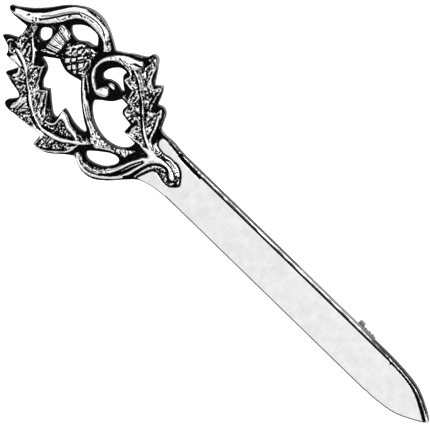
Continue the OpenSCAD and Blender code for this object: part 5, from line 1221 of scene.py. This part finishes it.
class Relief:
    """The front's height over the flat back, and how black and how satin it is, built up form by
    form on a grid."""

    def __init__(self, xs, ys):
        self.xs, self.ys = xs, ys
        self.x, self.y = np.meshgrid(xs, ys, indexing="ij")
        self.height, self.black, self.satin = bare_plate(self.x, self.y)
        self.fleck = np.zeros(self.x.shape)

    def window(self, points):
        """The part of the grid round some points."""
        low = points.min(axis=0) - WINDOW_MARGIN
        high = points.max(axis=0) + WINDOW_MARGIN
        i = np.searchsorted(self.xs, [low[0], high[0]])
        j = np.searchsorted(self.ys, [low[1], high[1]])
        return np.s_[i[0]:i[1], j[0]:j[1]]

    def lift(self, here, top, cover):
        """Lifts the metal to a top where it is covered and lies lower."""
        self.height[here] = np.where(
            cover > 0.5, np.maximum(self.height[here], PLATE + top), self.height[here])

    def raise_to(self, here, top, cover):
        """Raises the metal to a top where it is covered, and polishes it there."""
        self.lift(here, top, cover)
        self.black[here] *= 1 - cover
        self.satin[here] *= 1 - cover
        self.fleck[here] *= 1 - cover

    def pad(self, rows, level):
        """Lays a bright form with a rounded edge and a slightly crowned top."""
        edge = outline(drawn(rows, level))
        here = self.window(edge)
        x, y = self.x[here], self.y[here]
        depth = depth_inside(x, y, edge)
        crown = 1 - PAD_CROWN + PAD_CROWN * step(0, 0.7, depth)
        top = RELIEF * level / 100 * (0.6 + 0.4 * step(0, PAD_ROUND, depth)) * crown
        top = top + 0.03 * grain(x, y, 0.5, 61) + 0.012 * grain(x, y, 0.25, 62)
        self.raise_to(here, top, step(-SOFT_TONE, SOFT_TONE, depth))

    def rib(self, width, crest, rows):
        """Lays a thin bright ridge with a round back."""
        places = stroke(rows, crest)
        here = self.window(places)
        x, y = self.x[here], self.y[here]
        half = width / 100 * HEAD_WIDTH
        half = half * (1 + 0.18 * grain(x, y, 0.55, 63))
        far = beside(x, y, places)
        back = half * RIB_ROUND * (1 - np.sqrt(np.clip(1 - (far / half) ** 2, 0, 1)))
        top = RELIEF * crest / 100 - back + 0.02 * grain(x, y, 0.3, 64)
        self.raise_to(here, top, step(half + SOFT_TONE, half - SOFT_TONE, far))

    def cut(self, width, level, tone, rows):
        """Engraves a dark line."""
        places = stroke(rows, level)
        here = self.window(places)
        far = beside(self.x[here], self.y[here], places)
        self.darken(here, far, width / 100 * HEAD_WIDTH, tone)

    def pits(self, marks, level):
        """Sinks small dark pits. Columns: along, across, radius and tone."""
        for along, across, radius, tone in marks:
            place = stroke([(along, across)], level)
            here = self.window(place)
            far = np.hypot(self.x[here] - place[0, 0], self.y[here] - place[0, 1])
            self.darken(here, far, radius / 100 * HEAD_WIDTH, tone)

    def darken(self, here, far, half, tone):
        """Sinks and blackens the metal within half a width of a line or point."""
        share = step(half + SOFT_TONE, half - SOFT_TONE, far)
        self.height[here] -= CUT_DEPTH * share
        self.black[here] = np.maximum(self.black[here], tone / 100 * share)

    def stipple(self, rows, level, seed, turn, stretch, share):
        """Fills a hollow field with short bright strokes on black."""
        edge = outline(drawn(rows, level))
        here = self.window(edge)
        x, y = self.x[here], self.y[here]
        depth = depth_inside(x, y, edge)
        strokes = (grain(x, y, STIPPLE_PITCH, seed, turn, stretch)
                   + 0.5 * grain(x, y, STIPPLE_PITCH * 1.7, seed + 1, turn + 35, 1.2))
        bright = step(-0.15, 0.25, strokes + share - STIPPLE_SHARE)
        bright = bright * (0.85 + 0.15 * grain(x, y, 0.7, seed + 2))
        top = RELIEF * level / 100 - STIPPLE_DEPTH * (1 - bright)
        cover = step(-SOFT_TONE, SOFT_TONE, depth)
        self.lift(here, top, cover)
        self.black[here] = self.black[here] * (1 - cover) + (1 - bright) * cover
        self.fleck[here] = np.maximum(self.fleck[here], cover)

    def see_from_above(self):
        """Notes how far across each point is seen to lie, with the plate leaning."""
        self.seen = self.y - math.tan(lean_angle()) * (self.height - PLATE)

    def touch(self, here, cover, black):
        """Lifts a bright place or sinks a dark one."""
        self.height[here] += MARK_RISE * (0.5 - black) * cover
        self.black[here] += (black - self.black[here]) * cover
        self.fleck[here] *= 1 - cover
        self.satin[here] *= 1 - cover

    def mark(self, black, width, *places):
        """Draws one fine bright or dark mark where it is seen."""
        places = np.array([head_point(*place) for place in zip(places[::2], places[1::2])])
        here = self.window(places)
        half = width / 100 * HEAD_WIDTH
        far = beside(self.x[here], self.seen[here], places)
        self.touch(here, step(half + SOFT_TONE, half - SOFT_TONE, far), black / 100)

    def scale(self, rows):
        """Draws one bright scale where it is seen."""
        edge = np.array([head_point(*row) for row in rows])
        here = self.window(edge)
        depth = depth_inside(self.x[here], self.seen[here], edge)
        self.touch(here, step(-SOFT_TONE, SOFT_TONE, depth), SCALE_TONE)

    def at(self, name, x, y):
        """A layer's values at any points."""
        layer = getattr(self, name)
        u = np.clip((x - self.xs[0]) / GRID, 0, len(self.xs) - 1.001)
        v = np.clip((y - self.ys[0]) / GRID, 0, len(self.ys) - 1.001)
        i, j = u.astype(int), v.astype(int)
        u, v = u - i, v - j
        return ((layer[i, j] * (1 - u) + layer[i + 1, j] * u) * (1 - v)
                + (layer[i, j + 1] * (1 - u) + layer[i + 1, j + 1] * u) * v)


def bulb_dome(relief):
    """The thistle's bulb: a black dome, on which the scales are drawn later."""
    edge = outline(drawn(BULB, BULB_EDGE))
    here = relief.window(edge)
    x, y = relief.x[here], relief.y[here]
    depth = depth_inside(x, y, edge)
    cx, cy = head_point(*BULB_CENTRE)
    long, wide = BULB_REACH[0] / 100 * HEAD_LENGTH, BULB_REACH[1] / 100 * HEAD_WIDTH
    off = ((x - cx) / long) ** 2 + ((y - cy) / wide) ** 2
    dome = RELIEF * (BULB_EDGE / 100 + BULB_RISE / 100 * np.sqrt(np.clip(1 - off, 0, 1)))
    top = dome * (0.6 + 0.4 * step(0, 0.25, depth)) + 0.03 * grain(x, y, 0.3, 71)
    relief.raise_to(here, top, step(-SOFT_TONE, SOFT_TONE, depth))
    ground = 1 - 0.3 * step(0.35, 0.8, grain(x, y, 0.22, 74, 55, 2.2))
    relief.black[here] = np.maximum(relief.black[here], ground * step(0, SOFT_TONE, depth))


def head_relief(xs, ys):
    """The whole ornament of the head."""
    relief = Relief(xs, ys)
    for row in FIELDS:
        relief.stipple(*row)
    for rows, level in PADS:
        relief.pad(rows, level)
    for row in FLECKED_PADS:
        relief.stipple(*row)
    bulb_dome(relief)
    for ribs in (TOP_LEAF_LINE, LEFT_RIBS, RIGHT_RIBS, STALK_RIBS):
        for row in ribs:
            relief.rib(*row)
    for cuts in (TOP_LEAF_CUTS, TUFT_CUTS, BULB_CUTS, SCROLL_CUTS, LEFT_CUTS, RIGHT_CUTS,
                 STALK_CUTS, LOOP_CUTS, FACE_SHADE_CUTS, TAIL_CUTS):
        for row in cuts:
            relief.cut(*row)
    for marks, level in ((TOP_LEAF_PITS, 105), (SCROLL_PITS, 140), (LEFT_PITS, 90),
                         (RIGHT_PITS, 95), (TAIL_PITS, 120)):
        relief.pits(marks, level)
    for row in LOOP_RIBS:
        relief.rib(*row)
    for row in LOOP_TARNISH:
        relief.cut(*row)
    relief.see_from_above()
    for rows in BULB_SCALES:
        relief.scale(rows)
    for marks in (BULB_MARKS, EDGE_SHADE_MARKS, LEFT_MARKS, RIGHT_MARKS, BAND_MARKS, TUFT_MARKS,
                  TAIL_MARKS):
        for row in marks:
            relief.mark(*row)
    return relief


def in_metal(x, y):
    """How far each point lies inside the casting, and how far outside its nearest gap."""
    whole = np.maximum(
        depth_inside(x, y, outline(HEAD)) + EDGE_SWELL, depth_inside(x, y, blade_outline()))
    gap = np.full(x.shape, 1e3)
    for rows in HOLES:
        edge = outline(rows)
        low, high = edge.min(axis=0) - GAP_MARGIN, edge.max(axis=0) + GAP_MARGIN
        here = (x > low[0]) & (x < high[0]) & (y > low[1]) & (y < high[1])
        clear = EDGE_SWELL - depth_inside(x[here], y[here], edge)
        gap[here] = np.minimum(gap[here], clear)
    return np.minimum(whole, gap), gap


# Corners and cut edges of a grid square's filled part, by which of its corners lie in the metal.
FILLED = {
    1: [("c0", "e0", "e3")], 2: [("c1", "e1", "e0")], 3: [("c0", "c1", "e1", "e3")],
    4: [("c2", "e2", "e1")], 5: [("c0", "e0", "e3"), ("c2", "e2", "e1")],
    6: [("c1", "c2", "e2", "e0")], 7: [("c0", "c1", "c2", "e2", "e3")], 8: [("c3", "e3", "e2")],
    9: [("c0", "e0", "e2", "c3")], 10: [("c1", "e1", "e0"), ("c3", "e3", "e2")],
    11: [("c0", "c1", "e1", "e2", "c3")], 12: [("c2", "c3", "e3", "e1")],
    13: [("c0", "e0", "e1", "c2", "c3")], 14: [("c1", "c2", "c3", "e3", "e0")],
    15: [("c0", "c1", "c2", "c3")],
}


def cut_grid(xs, ys):
    """A grid cut to the casting's outline: its points, its faces and its open edges."""
    gx, gy = np.meshgrid(xs, ys, indexing="ij")
    inside = in_metal(gx.ravel(), gy.ravel())[0].reshape(gx.shape)
    inside = np.where(np.abs(inside) < GRID * 0.02, GRID * 0.02, inside)
    filled = inside > 0

    points = [np.stack([gx[filled], gy[filled]], axis=1)]
    corner_id = np.full(gx.shape, -1)
    corner_id[filled] = np.arange(filled.sum())
    count = len(points[0])
    cut_ids = []
    for axis in (0, 1):
        a = tuple(slice(None, -1) if k == axis else slice(None) for k in (0, 1))
        b = tuple(slice(1, None) if k == axis else slice(None) for k in (0, 1))
        cut = (inside[a] > 0) != (inside[b] > 0)
        share = inside[a][cut] / (inside[a][cut] - inside[b][cut])
        px = gx[a][cut] + share * (gx[b][cut] - gx[a][cut])
        py = gy[a][cut] + share * (gy[b][cut] - gy[a][cut])
        points.append(np.stack([px, py], axis=1))
        ids = np.full(cut.shape, -1)
        ids[cut] = count + np.arange(cut.sum())
        count += cut.sum()
        cut_ids.append(ids)
    along_x, along_y = cut_ids
    case = filled[:-1, :-1] * 1 + filled[1:, :-1] * 2 + filled[1:, 1:] * 4 + filled[:-1, 1:] * 8
    names = {
        "c0": corner_id[:-1, :-1], "c1": corner_id[1:, :-1], "c2": corner_id[1:, 1:],
        "c3": corner_id[:-1, 1:], "e0": along_x[:, :-1], "e1": along_y[1:, :],
        "e2": along_x[:, 1:], "e3": along_y[:-1, :],
    }
    faces, rims = [], []
    for kind, shapes in FILLED.items():
        cells = case == kind
        for shape in shapes:
            loop = np.stack([names[n][cells] for n in shape], axis=1)
            faces += loop.tolist()
            for k, n in enumerate(shape):
                m = shape[(k + 1) % len(shape)]
                if n[0] == "e" and m[0] == "e":
                    rims.append(np.stack([loop[:, k], loop[:, (k + 1) % len(shape)]], axis=1))
    return np.concatenate(points), faces, np.concatenate(rims)


def painted_wall_shade(x, gap):
    """Painted shade and reflection on the casting's sides: darker inside the gaps, and changing from
    place to place along the pin.
    """
    # Painted reflection changing along the pin, and painted shade on the walls inside the gaps.
    tone = np.interp(x, WALL_PLACES, WALL_REFLECTIONS)
    return np.where(gap < GAP_SIDE, HOLE_WALL_SHADE, tone)


def front_layers(relief, x, y, depth):
    """The front's height and tones: the head's from its relief, the blade's from the bare plate, with
    painted shade added along the casting's edges.
    """
    layers = dict(zip(("height", "black", "satin"), bare_plate(x, y)), fleck=np.zeros(x.shape))
    head = x < relief.xs[-1]
    for name, values in layers.items():
        values[head] = relief.at(name, x[head], y[head])
    # Painted shade along the casting's edges, wider and darker on the upper side towards the blade's
    # tip.
    edge_shade = np.where(head, EDGE_SHADE, BLADE_EDGE_SHADE)
    upper = step(1.0, 1.5, y + 0.05 * (x - 48))
    tip_shade = TIP_SHADE_REACH * step(*TIP_SHADE_GROWS, x) * upper
    edge = (edge_shade + TIP_SHADE_TONE * (tip_shade > 0)) * step(0.13, 0.06, depth - tip_shade)
    layers["black"] = np.maximum(layers["black"], edge)
    fall = np.clip(1 - depth / EDGE_ROUND, 0, 1)
    layers["height"] = layers["height"] - EDGE_ROUND * (1 - np.sqrt(1 - fall ** 2))
    return layers


def casting():
    """The whole casting as one closed piece."""
    head_end = head_point(HEAD_RELIEF_END, 0)[0]
    head_xs = np.arange(-HEAD_LENGTH - 0.5, head_end, GRID)
    tip = BLADE_LENGTH * TIP_STARTS
    xs = np.concatenate([
        head_xs,
        np.arange(head_end, tip, BLADE_GRID),
        np.arange(tip, BLADE_LENGTH + 0.5, GRID * 1.5),
    ])
    ys = np.arange(HEAD_WIDTH * HEAD_REACH[0], HEAD_WIDTH * HEAD_REACH[1], GRID)
    flat, faces, rims = cut_grid(xs, ys)
    x, y = flat[:, 0], flat[:, 1]
    depth, gap = in_metal(x, y)
    depth[rims.ravel()] = 0

    layers = front_layers(head_relief(head_xs, ys), x, y, depth)

    front = np.column_stack([flat, layers["height"]])
    rim_ids, back_of = np.unique(rims.ravel(), return_inverse=True)
    back_of = back_of.reshape(rims.shape) + len(front)
    back = front[rim_ids].copy()
    back[:, 2] = 0
    walls = np.column_stack([rims[:, 0], back_of[:, 0], back_of[:, 1], rims[:, 1]])

    mesh = bpy.data.meshes.new("casting")
    mesh.from_pydata(np.concatenate([front, back]).tolist(), [], faces + walls.tolist())
    # The front's black layer holds the patina and painted shade; the sides' layer holds painted shade
    # and painted reflection.
    side = painted_wall_shade(x, gap)
    for name, front_values, back_values in (
            ("patina_and_shade", layers["black"], np.full(len(back), BACK_TONE)),
            ("satin", layers["satin"], np.zeros(len(back))),
            ("fleck", layers["fleck"], np.zeros(len(back))),
            ("side_shade", side, side[rim_ids])):
        layer = mesh.attributes.new(name, "FLOAT", "POINT")
        layer.data.foreach_set("value", np.concatenate([front_values, back_values]))
    close_back(mesh)
    slots = np.full(len(mesh.polygons), 2)
    slots[:len(faces)] = 0
    slots[len(faces):len(faces) + len(walls)] = 1
    mesh.transform(lying())
    mesh.shade_smooth()
    mesh.set_sharp_from_angle(angle=math.radians(60))
    piece = new_piece("casting_finished", mesh, [pewter(), cast_side(), plain_back()], "casting")
    mesh.polygons.foreach_set("material_index", slots)
    return piece


def close_back(mesh):
    """Fills the flat back between the outline and the gaps."""
    work = bmesh.new()
    work.from_mesh(mesh)
    open_edges = [e for e in work.edges if e.is_boundary]
    bmesh.ops.triangle_fill(work, edges=open_edges, use_beauty=False, normal=(0, 0, -1))
    bmesh.ops.recalc_face_normals(work, faces=work.faces)
    work.to_mesh(mesh)
    work.free()


def new_piece(name, mesh, materials, *stands_for):
    """Puts a finished mesh into the scene, on the pin's own body."""
    for material in materials:
        mesh.materials.append(material)
    piece = bpy.data.objects.new(name, mesh)
    bpy.context.scene.collection.objects.link(piece)
    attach(piece, "root")
    if stands_for:
        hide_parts(*stands_for)
    return piece


def turned_tube(work, rows):
    """Turns a closed profile round the X axis. Columns: place along it and radius."""
    turns = 48
    angles = [2 * math.pi * k / turns for k in range(turns)]
    rings = [[work.verts.new((x, r * math.cos(a), r * math.sin(a))) for a in angles]
             for x, r in rows]
    for ring, after in zip(rings, rings[1:] + rings[:1]):
        for k in range(turns):
            work.faces.new((ring[k], ring[(k + 1) % turns], after[(k + 1) % turns], after[k]))


def rounded_block(work, low, high, rounding):
    """A block between two corners, with rounded edges."""
    low, high = np.array(low), np.array(high)
    place = Matrix.Translation((low + high) / 2) @ Matrix.Diagonal((*(high - low), 1))
    cube = bmesh.ops.create_cube(work, matrix=place)
    edges = {edge for vertex in cube["verts"] for edge in vertex.link_edges}
    bmesh.ops.bevel(work, geom=list(edges), offset=rounding, segments=3, profile=0.5, affect="EDGES")


def on_back(work, along):
    """The mesh of a finding, moved to its place on the pin's back."""
    bmesh.ops.recalc_face_normals(work, faces=work.faces)
    mesh = bpy.data.meshes.new("finding")
    work.to_mesh(mesh)
    work.free()
    mesh.transform(lying() @ Matrix.Translation((along, FINDING_OFFSET, -FINDING_DEPTH)))
    mesh.shade_smooth()
    mesh.set_sharp_from_angle(angle=math.radians(40))
    return mesh


def catch_body():
    """The catch's barrel with the bore through it, its block and its lever."""
    end, inner, lip = CATCH_LENGTH / 2, BARREL_R - RING_DEPTH, CATCH_LIP
    work = bmesh.new()
    turned_tube(work, [
        (-end, BORE_R + lip), (-end, BARREL_R - lip), (-end + lip, BARREL_R),
        (-end + LEVER_LENGTH - lip, BARREL_R), (-end + LEVER_LENGTH, inner), (end - lip, inner),
        (end, inner - lip), (end, BORE_R + lip), (end - lip, BORE_R), (-end + lip, BORE_R)])
    rounded_block(work, (-end, -BLOCK_WIDTH / 2, BORE_R + lip),
                  (end, BLOCK_WIDTH / 2, FINDING_DEPTH - GLUE_GAP), BLOCK_ROUND)
    rounded_block(work, (-end, BORE_R + lip, -BARREL_R / 2),
                  (-end + LEVER_LENGTH, BARREL_R + LEVER_RISE, BARREL_R / 2), LEVER_ROUND)
    mesh = on_back(work, CATCH_PLACE)
    return new_piece("catch_finished", mesh, [dull_plate()], "catch")


def ring_tree(metal):
    """Geometry nodes that set a row of round rings along a barrel."""
    tree = bpy.data.node_groups.new("barrel_rings", "GeometryNodeTree")
    sockets = tree.interface
    sockets.new_socket("Geometry", in_out="OUTPUT", socket_type="NodeSocketGeometry")
    sizes = {
        name: sockets.new_socket(name, in_out="INPUT", socket_type=kind).identifier
        for name, kind in (("Rings", "NodeSocketInt"), ("Pitch", "NodeSocketFloat"),
                           ("Barrel radius", "NodeSocketFloat"), ("Bead radius", "NodeSocketFloat"))
    }
    given = tree.nodes.new("NodeGroupInput")

    def add(kind, links=None, values=None):
        node = tree.nodes.new(kind)
        for key, value in (values or {}).items():
            node.inputs[key].default_value = value
        for key, source in (links or {}).items():
            tree.links.new(source, node.inputs[key])
        return node

    spacing = add("ShaderNodeCombineXYZ", links={"X": given.outputs["Pitch"]})
    row = add("GeometryNodeMeshLine", links={
        "Count": given.outputs["Rings"], "Offset": spacing.outputs[0]})
    hoop = add("GeometryNodeCurvePrimitiveCircle", values={"Resolution": 48},
               links={"Radius": given.outputs["Barrel radius"]})
    bead = add("GeometryNodeCurvePrimitiveCircle", values={"Resolution": 12},
               links={"Radius": given.outputs["Bead radius"]})
    ring = add("GeometryNodeCurveToMesh", links={
        "Curve": hoop.outputs["Curve"], "Profile Curve": bead.outputs["Curve"]})
    upright = add("GeometryNodeTransform", values={"Rotation": (0, math.pi / 2, 0)},
                  links={"Geometry": ring.outputs["Mesh"]})
    copies = add("GeometryNodeInstanceOnPoints", links={
        "Points": row.outputs["Mesh"], "Instance": upright.outputs["Geometry"]})
    real = add("GeometryNodeRealizeInstances", links={"Geometry": copies.outputs["Instances"]})
    dressed = add("GeometryNodeSetMaterial", links={"Geometry": real.outputs["Geometry"]},
                  values={"Material": metal})
    result = tree.nodes.new("NodeGroupOutput")
    tree.links.new(dressed.outputs["Geometry"], result.inputs["Geometry"])
    return tree, sizes


def catch_rings():
    """The round rings along the catch's barrel."""
    metal = dull_plate()
    pitch = (CATCH_LENGTH - LEVER_LENGTH) / (RING_COUNT + 0.5)
    bead = pitch / BEAD_SHARE
    tree, sizes = ring_tree(metal)
    holder = bpy.data.objects.new("ring_holder", bpy.data.meshes.new("ring_holder"))
    bpy.context.scene.collection.objects.link(holder)
    rings = holder.modifiers.new("rings", "NODES")
    rings.node_group = tree
    for name, value in (("Rings", RING_COUNT), ("Pitch", pitch), ("Bead radius", bead),
                        ("Barrel radius", BARREL_R - bead)):
        rings[sizes[name]] = value
    ready = holder.evaluated_get(bpy.context.evaluated_depsgraph_get())
    mesh = bpy.data.meshes.new_from_object(ready)
    bpy.data.objects.remove(holder)
    first = CATCH_PLACE - CATCH_LENGTH / 2 + LEVER_LENGTH + pitch * FIRST_RING
    mesh.transform(lying() @ Matrix.Translation((first, FINDING_OFFSET, -FINDING_DEPTH)))
    mesh.materials.clear()
    mesh.shade_smooth()
    return new_piece("catch_rings", mesh, [metal])


class Value:
    """A shader value that Python's operators work on."""

    def __init__(self, tree, socket):
        self.tree, self.socket = tree, socket

    def math(self, operation, *values):
        """The result of one sum on values."""
        return self.tree.node("ShaderNodeMath", {"operation": operation}, values)

    def __add__(self, other):
        return self.math("ADD", self, other)

    def __sub__(self, other):
        return self.math("SUBTRACT", self, other)

    def __rsub__(self, other):
        return self.math("SUBTRACT", other, self)

    def __mul__(self, other):
        return self.math("MULTIPLY", self, other)

    __radd__ = __add__
    __rmul__ = __mul__


class Material:
    """A material built from plain calls."""

    def __init__(self, name):
        self.material = bpy.data.materials.new(name)
        self.material.use_nodes = True
        self.tree = self.material.node_tree
        self.shader = self.tree.nodes["Principled BSDF"]

    def node(self, kind, settings=None, inputs=(), output=0):
        """Adds a node, with its settings first, then the values or links of its sockets."""
        node = self.tree.nodes.new(kind)
        for key, value in (settings or {}).items():
            setattr(node, key, value)
        pairs = inputs.items() if isinstance(inputs, dict) else enumerate(inputs)
        for key, value in pairs:
            if isinstance(value, Value):
                self.tree.links.new(value.socket, node.inputs[key])
            else:
                node.inputs[key].default_value = value
        return Value(self, node.outputs[output])

    def place(self):
        """Object coordinates."""
        return self.node("ShaderNodeTexCoord", output="Object")

    def layer(self, name):
        """A layer painted on the mesh."""
        return self.node("ShaderNodeAttribute", {"attribute_name": name}, output="Fac")

    def noise(self, scale, detail=2.0, stretch=(1, 1, 1)):
        """Noise in the metal, stretched along some axes."""
        where = self.node("ShaderNodeMapping", {}, {"Vector": self.place(), "Scale": stretch})
        return self.node("ShaderNodeTexNoise", {}, {"Vector": where, "Scale": scale, "Detail": detail})

    def ramp(self, value, low, high):
        """Spreads the stretch from low to high over 0 to 1."""
        return self.node("ShaderNodeMapRange", {"interpolation_type": "SMOOTHSTEP"},
                         {"Value": value, "From Min": low, "From Max": high})

    def mix(self, share, a, b):
        """Mixes two colours."""
        return self.node("ShaderNodeMix", {"data_type": "RGBA"}, {0: share, 6: a, 7: b}, output=2)

    def set(self, **sockets):
        """Sets or links the shader's sockets, named with underscores."""
        for key, value in sockets.items():
            socket = self.shader.inputs[key.replace("_", " ")]
            if isinstance(value, Value):
                self.tree.links.new(value.socket, socket)
            else:
                socket.default_value = value

    def bump(self, height, distance, strength=1.0):
        """Roughens the surface finely."""
        self.set(Normal=self.node("ShaderNodeBump", {}, {
            "Strength": strength, "Distance": distance, "Height": height}))


def grey(level):
    """A metal's grey with the faint blue of pewter."""
    return level, level, level * 1.01, 1


def pewter():
    """Bright pewter on what stands high, satin on the blade's face, black with patina in the hollows
    and with painted shade along the edges and flanks.
    """
    m = Material("antiqued_pewter")
    # This layer is the real patina in the hollows together with the painted shade along edges and
    # flanks.
    patina_and_shade_layer = m.layer("patina_and_shade")
    satin = m.layer("satin")
    speck = m.noise(9000.0, 3.0)
    cloud = m.noise(700.0, 3.0)
    brushed = m.noise(2600.0, 2.0, (1, 0.06, 1))
    flecks = (m.noise(5200.0, 1.5) - 0.5) * m.layer("fleck") * 2.6
    black = m.ramp(patina_and_shade_layer + (speck - 0.5) * 0.3 + flecks, 0.12, 0.7)
    bright = m.mix(m.ramp(speck, 0.3, 0.7), grey(BRIGHT), grey(BRIGHT * 0.93))
    face = m.mix(m.ramp(cloud + (brushed - 0.5) * 0.6, 0.2, 0.8),
                 grey(FACE_TONE * 1.04), grey(FACE_TONE * 0.91))
    m.set(Base_Color=m.mix(black, m.mix(satin, bright, face), grey(0.004)), Metallic=1.0,
          Specular_Tint=grey(0.3), Roughness=speck * 0.1 + 0.22 + satin * 0.16 + black * 0.2)
    m.bump(speck, 0.00002, 0.35)
    return m.material


def cast_side():
    """The casting's sand-rough sides, with painted shade inside the gaps and a painted reflection that
    changes along the pin.
    """
    m = Material("cast_side")
    speck = m.noise(6000.0, 3.0)
    streak = m.noise(1500.0, 3.0, (0.5, 1, 1))
    # The sides' grey comes from the painted shade and reflection layer, broken up by noise.
    tone = m.ramp(m.layer("side_shade") + (speck - 0.5) * 0.15 + (streak - 0.5) * 0.2, 0.0, 0.95)
    m.set(Base_Color=m.mix(tone, grey(0.62), grey(0.006)), Metallic=1.0, Roughness=speck * 0.2 + 0.4)
    m.bump(speck, 0.00004, 0.7)
    return m.material


def plain_back():
    """The flat back as it came from the mould, with faint blotches."""
    m = Material("plain_back")
    blotch = m.noise(350.0, 4.0)
    speck = m.noise(7000.0, 2.0)
    m.set(Base_Color=m.mix(m.ramp(blotch, 0.35, 0.7), grey(0.5), grey(0.3)), Metallic=1.0,
          Roughness=speck * 0.15 + 0.38 + blotch * 0.1)
    m.bump(speck + blotch, 0.00004, 0.6)
    return m.material


def steel():
    """Drawn wire, dulled by handling."""
    m = Material("pin_steel")
    drawn_lines = m.noise(3000.0, 2.0, (0.03, 1, 1))
    m.set(Base_Color=m.mix(drawn_lines, grey(0.62), grey(0.5)), Metallic=1.0,
          Roughness=drawn_lines * 0.2 + 0.25)
    m.bump(drawn_lines, 0.00001, 0.4)
    return m.material


def dull_plate():
    """Nickel plate, grey and worn on the catch."""
    m = Material("catch_plate")
    worn = m.noise(2500.0, 3.0)
    m.set(Base_Color=m.mix(worn, grey(0.17), grey(0.08)), Metallic=1.0, Roughness=worn * 0.2 + 0.3)
    m.bump(worn, 0.00002, 0.4)
    return m.material


def dress_stem():
    """Gives the pin and its foot their steel."""
    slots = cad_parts["pin_stem"].data.materials
    slots.clear()
    slots.append(steel())


def studio():
    """A white floor and a bright even sky that darkens towards the horizon."""
    floor = bpy.data.meshes.new("floor")
    corners = [(x * FLOOR_REACH, y * FLOOR_REACH, 0) for x, y in ((-1, -1), (1, -1), (1, 1), (-1, 1))]
    floor.from_pydata(corners, [], [(0, 1, 2, 3)])
    paper = Material("white_paper")
    paper.set(Base_Color=(0.9, 0.9, 0.9, 1), Roughness=0.9,
              Emission_Color=(1, 1, 1, 1), Emission_Strength=0.8)
    floor.materials.append(paper.material)
    ground = bpy.data.objects.new("floor", floor)
    bpy.context.scene.collection.objects.link(ground)

    world = bpy.data.worlds.new("studio")
    bpy.context.scene.world = world
    world.use_nodes = True
    tree = world.node_tree
    where = tree.nodes.new("ShaderNodeTexCoord")
    height = tree.nodes.new("ShaderNodeSeparateXYZ")
    sky = tree.nodes.new("ShaderNodeValToRGB")
    stops = sky.color_ramp.elements
    while len(stops) > 1:
        stops.remove(stops[0])
    for place, bright in SKY:
        stop = stops[0] if place == SKY[0][0] else stops.new(place)
        stop.position = place
        stop.color = (bright, bright, bright, 1)
    tree.links.new(where.outputs["Generated"], height.inputs[0])
    tree.links.new(height.outputs["Z"], sky.inputs["Fac"])
    tree.links.new(sky.outputs["Color"], tree.nodes["Background"].inputs["Color"])
    lamp = bpy.data.lights.new("softbox", "AREA")
    lamp.size = LAMP_SIZE
    lamp.energy = LAMP_POWER
    light = bpy.data.objects.new("softbox", lamp)
    light.location = LAMP_PLACE
    light.rotation_euler = light.location.to_track_quat("Z", "Y").to_euler()
    bpy.context.scene.collection.objects.link(light)


def camera():
    """A long lens straight above, turned so that the blade runs down to the lower right."""
    data = bpy.data.cameras.new("camera")
    field = PHOTO_SIDE / PIXELS_PER_MM
    data.sensor_width = 36.0
    data.lens = data.sensor_width * (CAMERA_HEIGHT - PLATE - RELIEF) / field
    eye = bpy.data.objects.new("camera", data)
    eye.location = (VIEW_CENTRE[0] * MM, VIEW_CENTRE[1] * MM, CAMERA_HEIGHT * MM)
    eye.rotation_euler = (0, 0, math.radians(AXIS_TURN))
    bpy.context.scene.collection.objects.link(eye)
    bpy.context.scene.camera = eye
    data.clip_start = 0.1
    data.clip_end = 10.0


camera()
casting()
catch_body()
catch_rings()
dress_stem()
studio()
bpy.context.scene.view_settings.view_transform = "Standard"
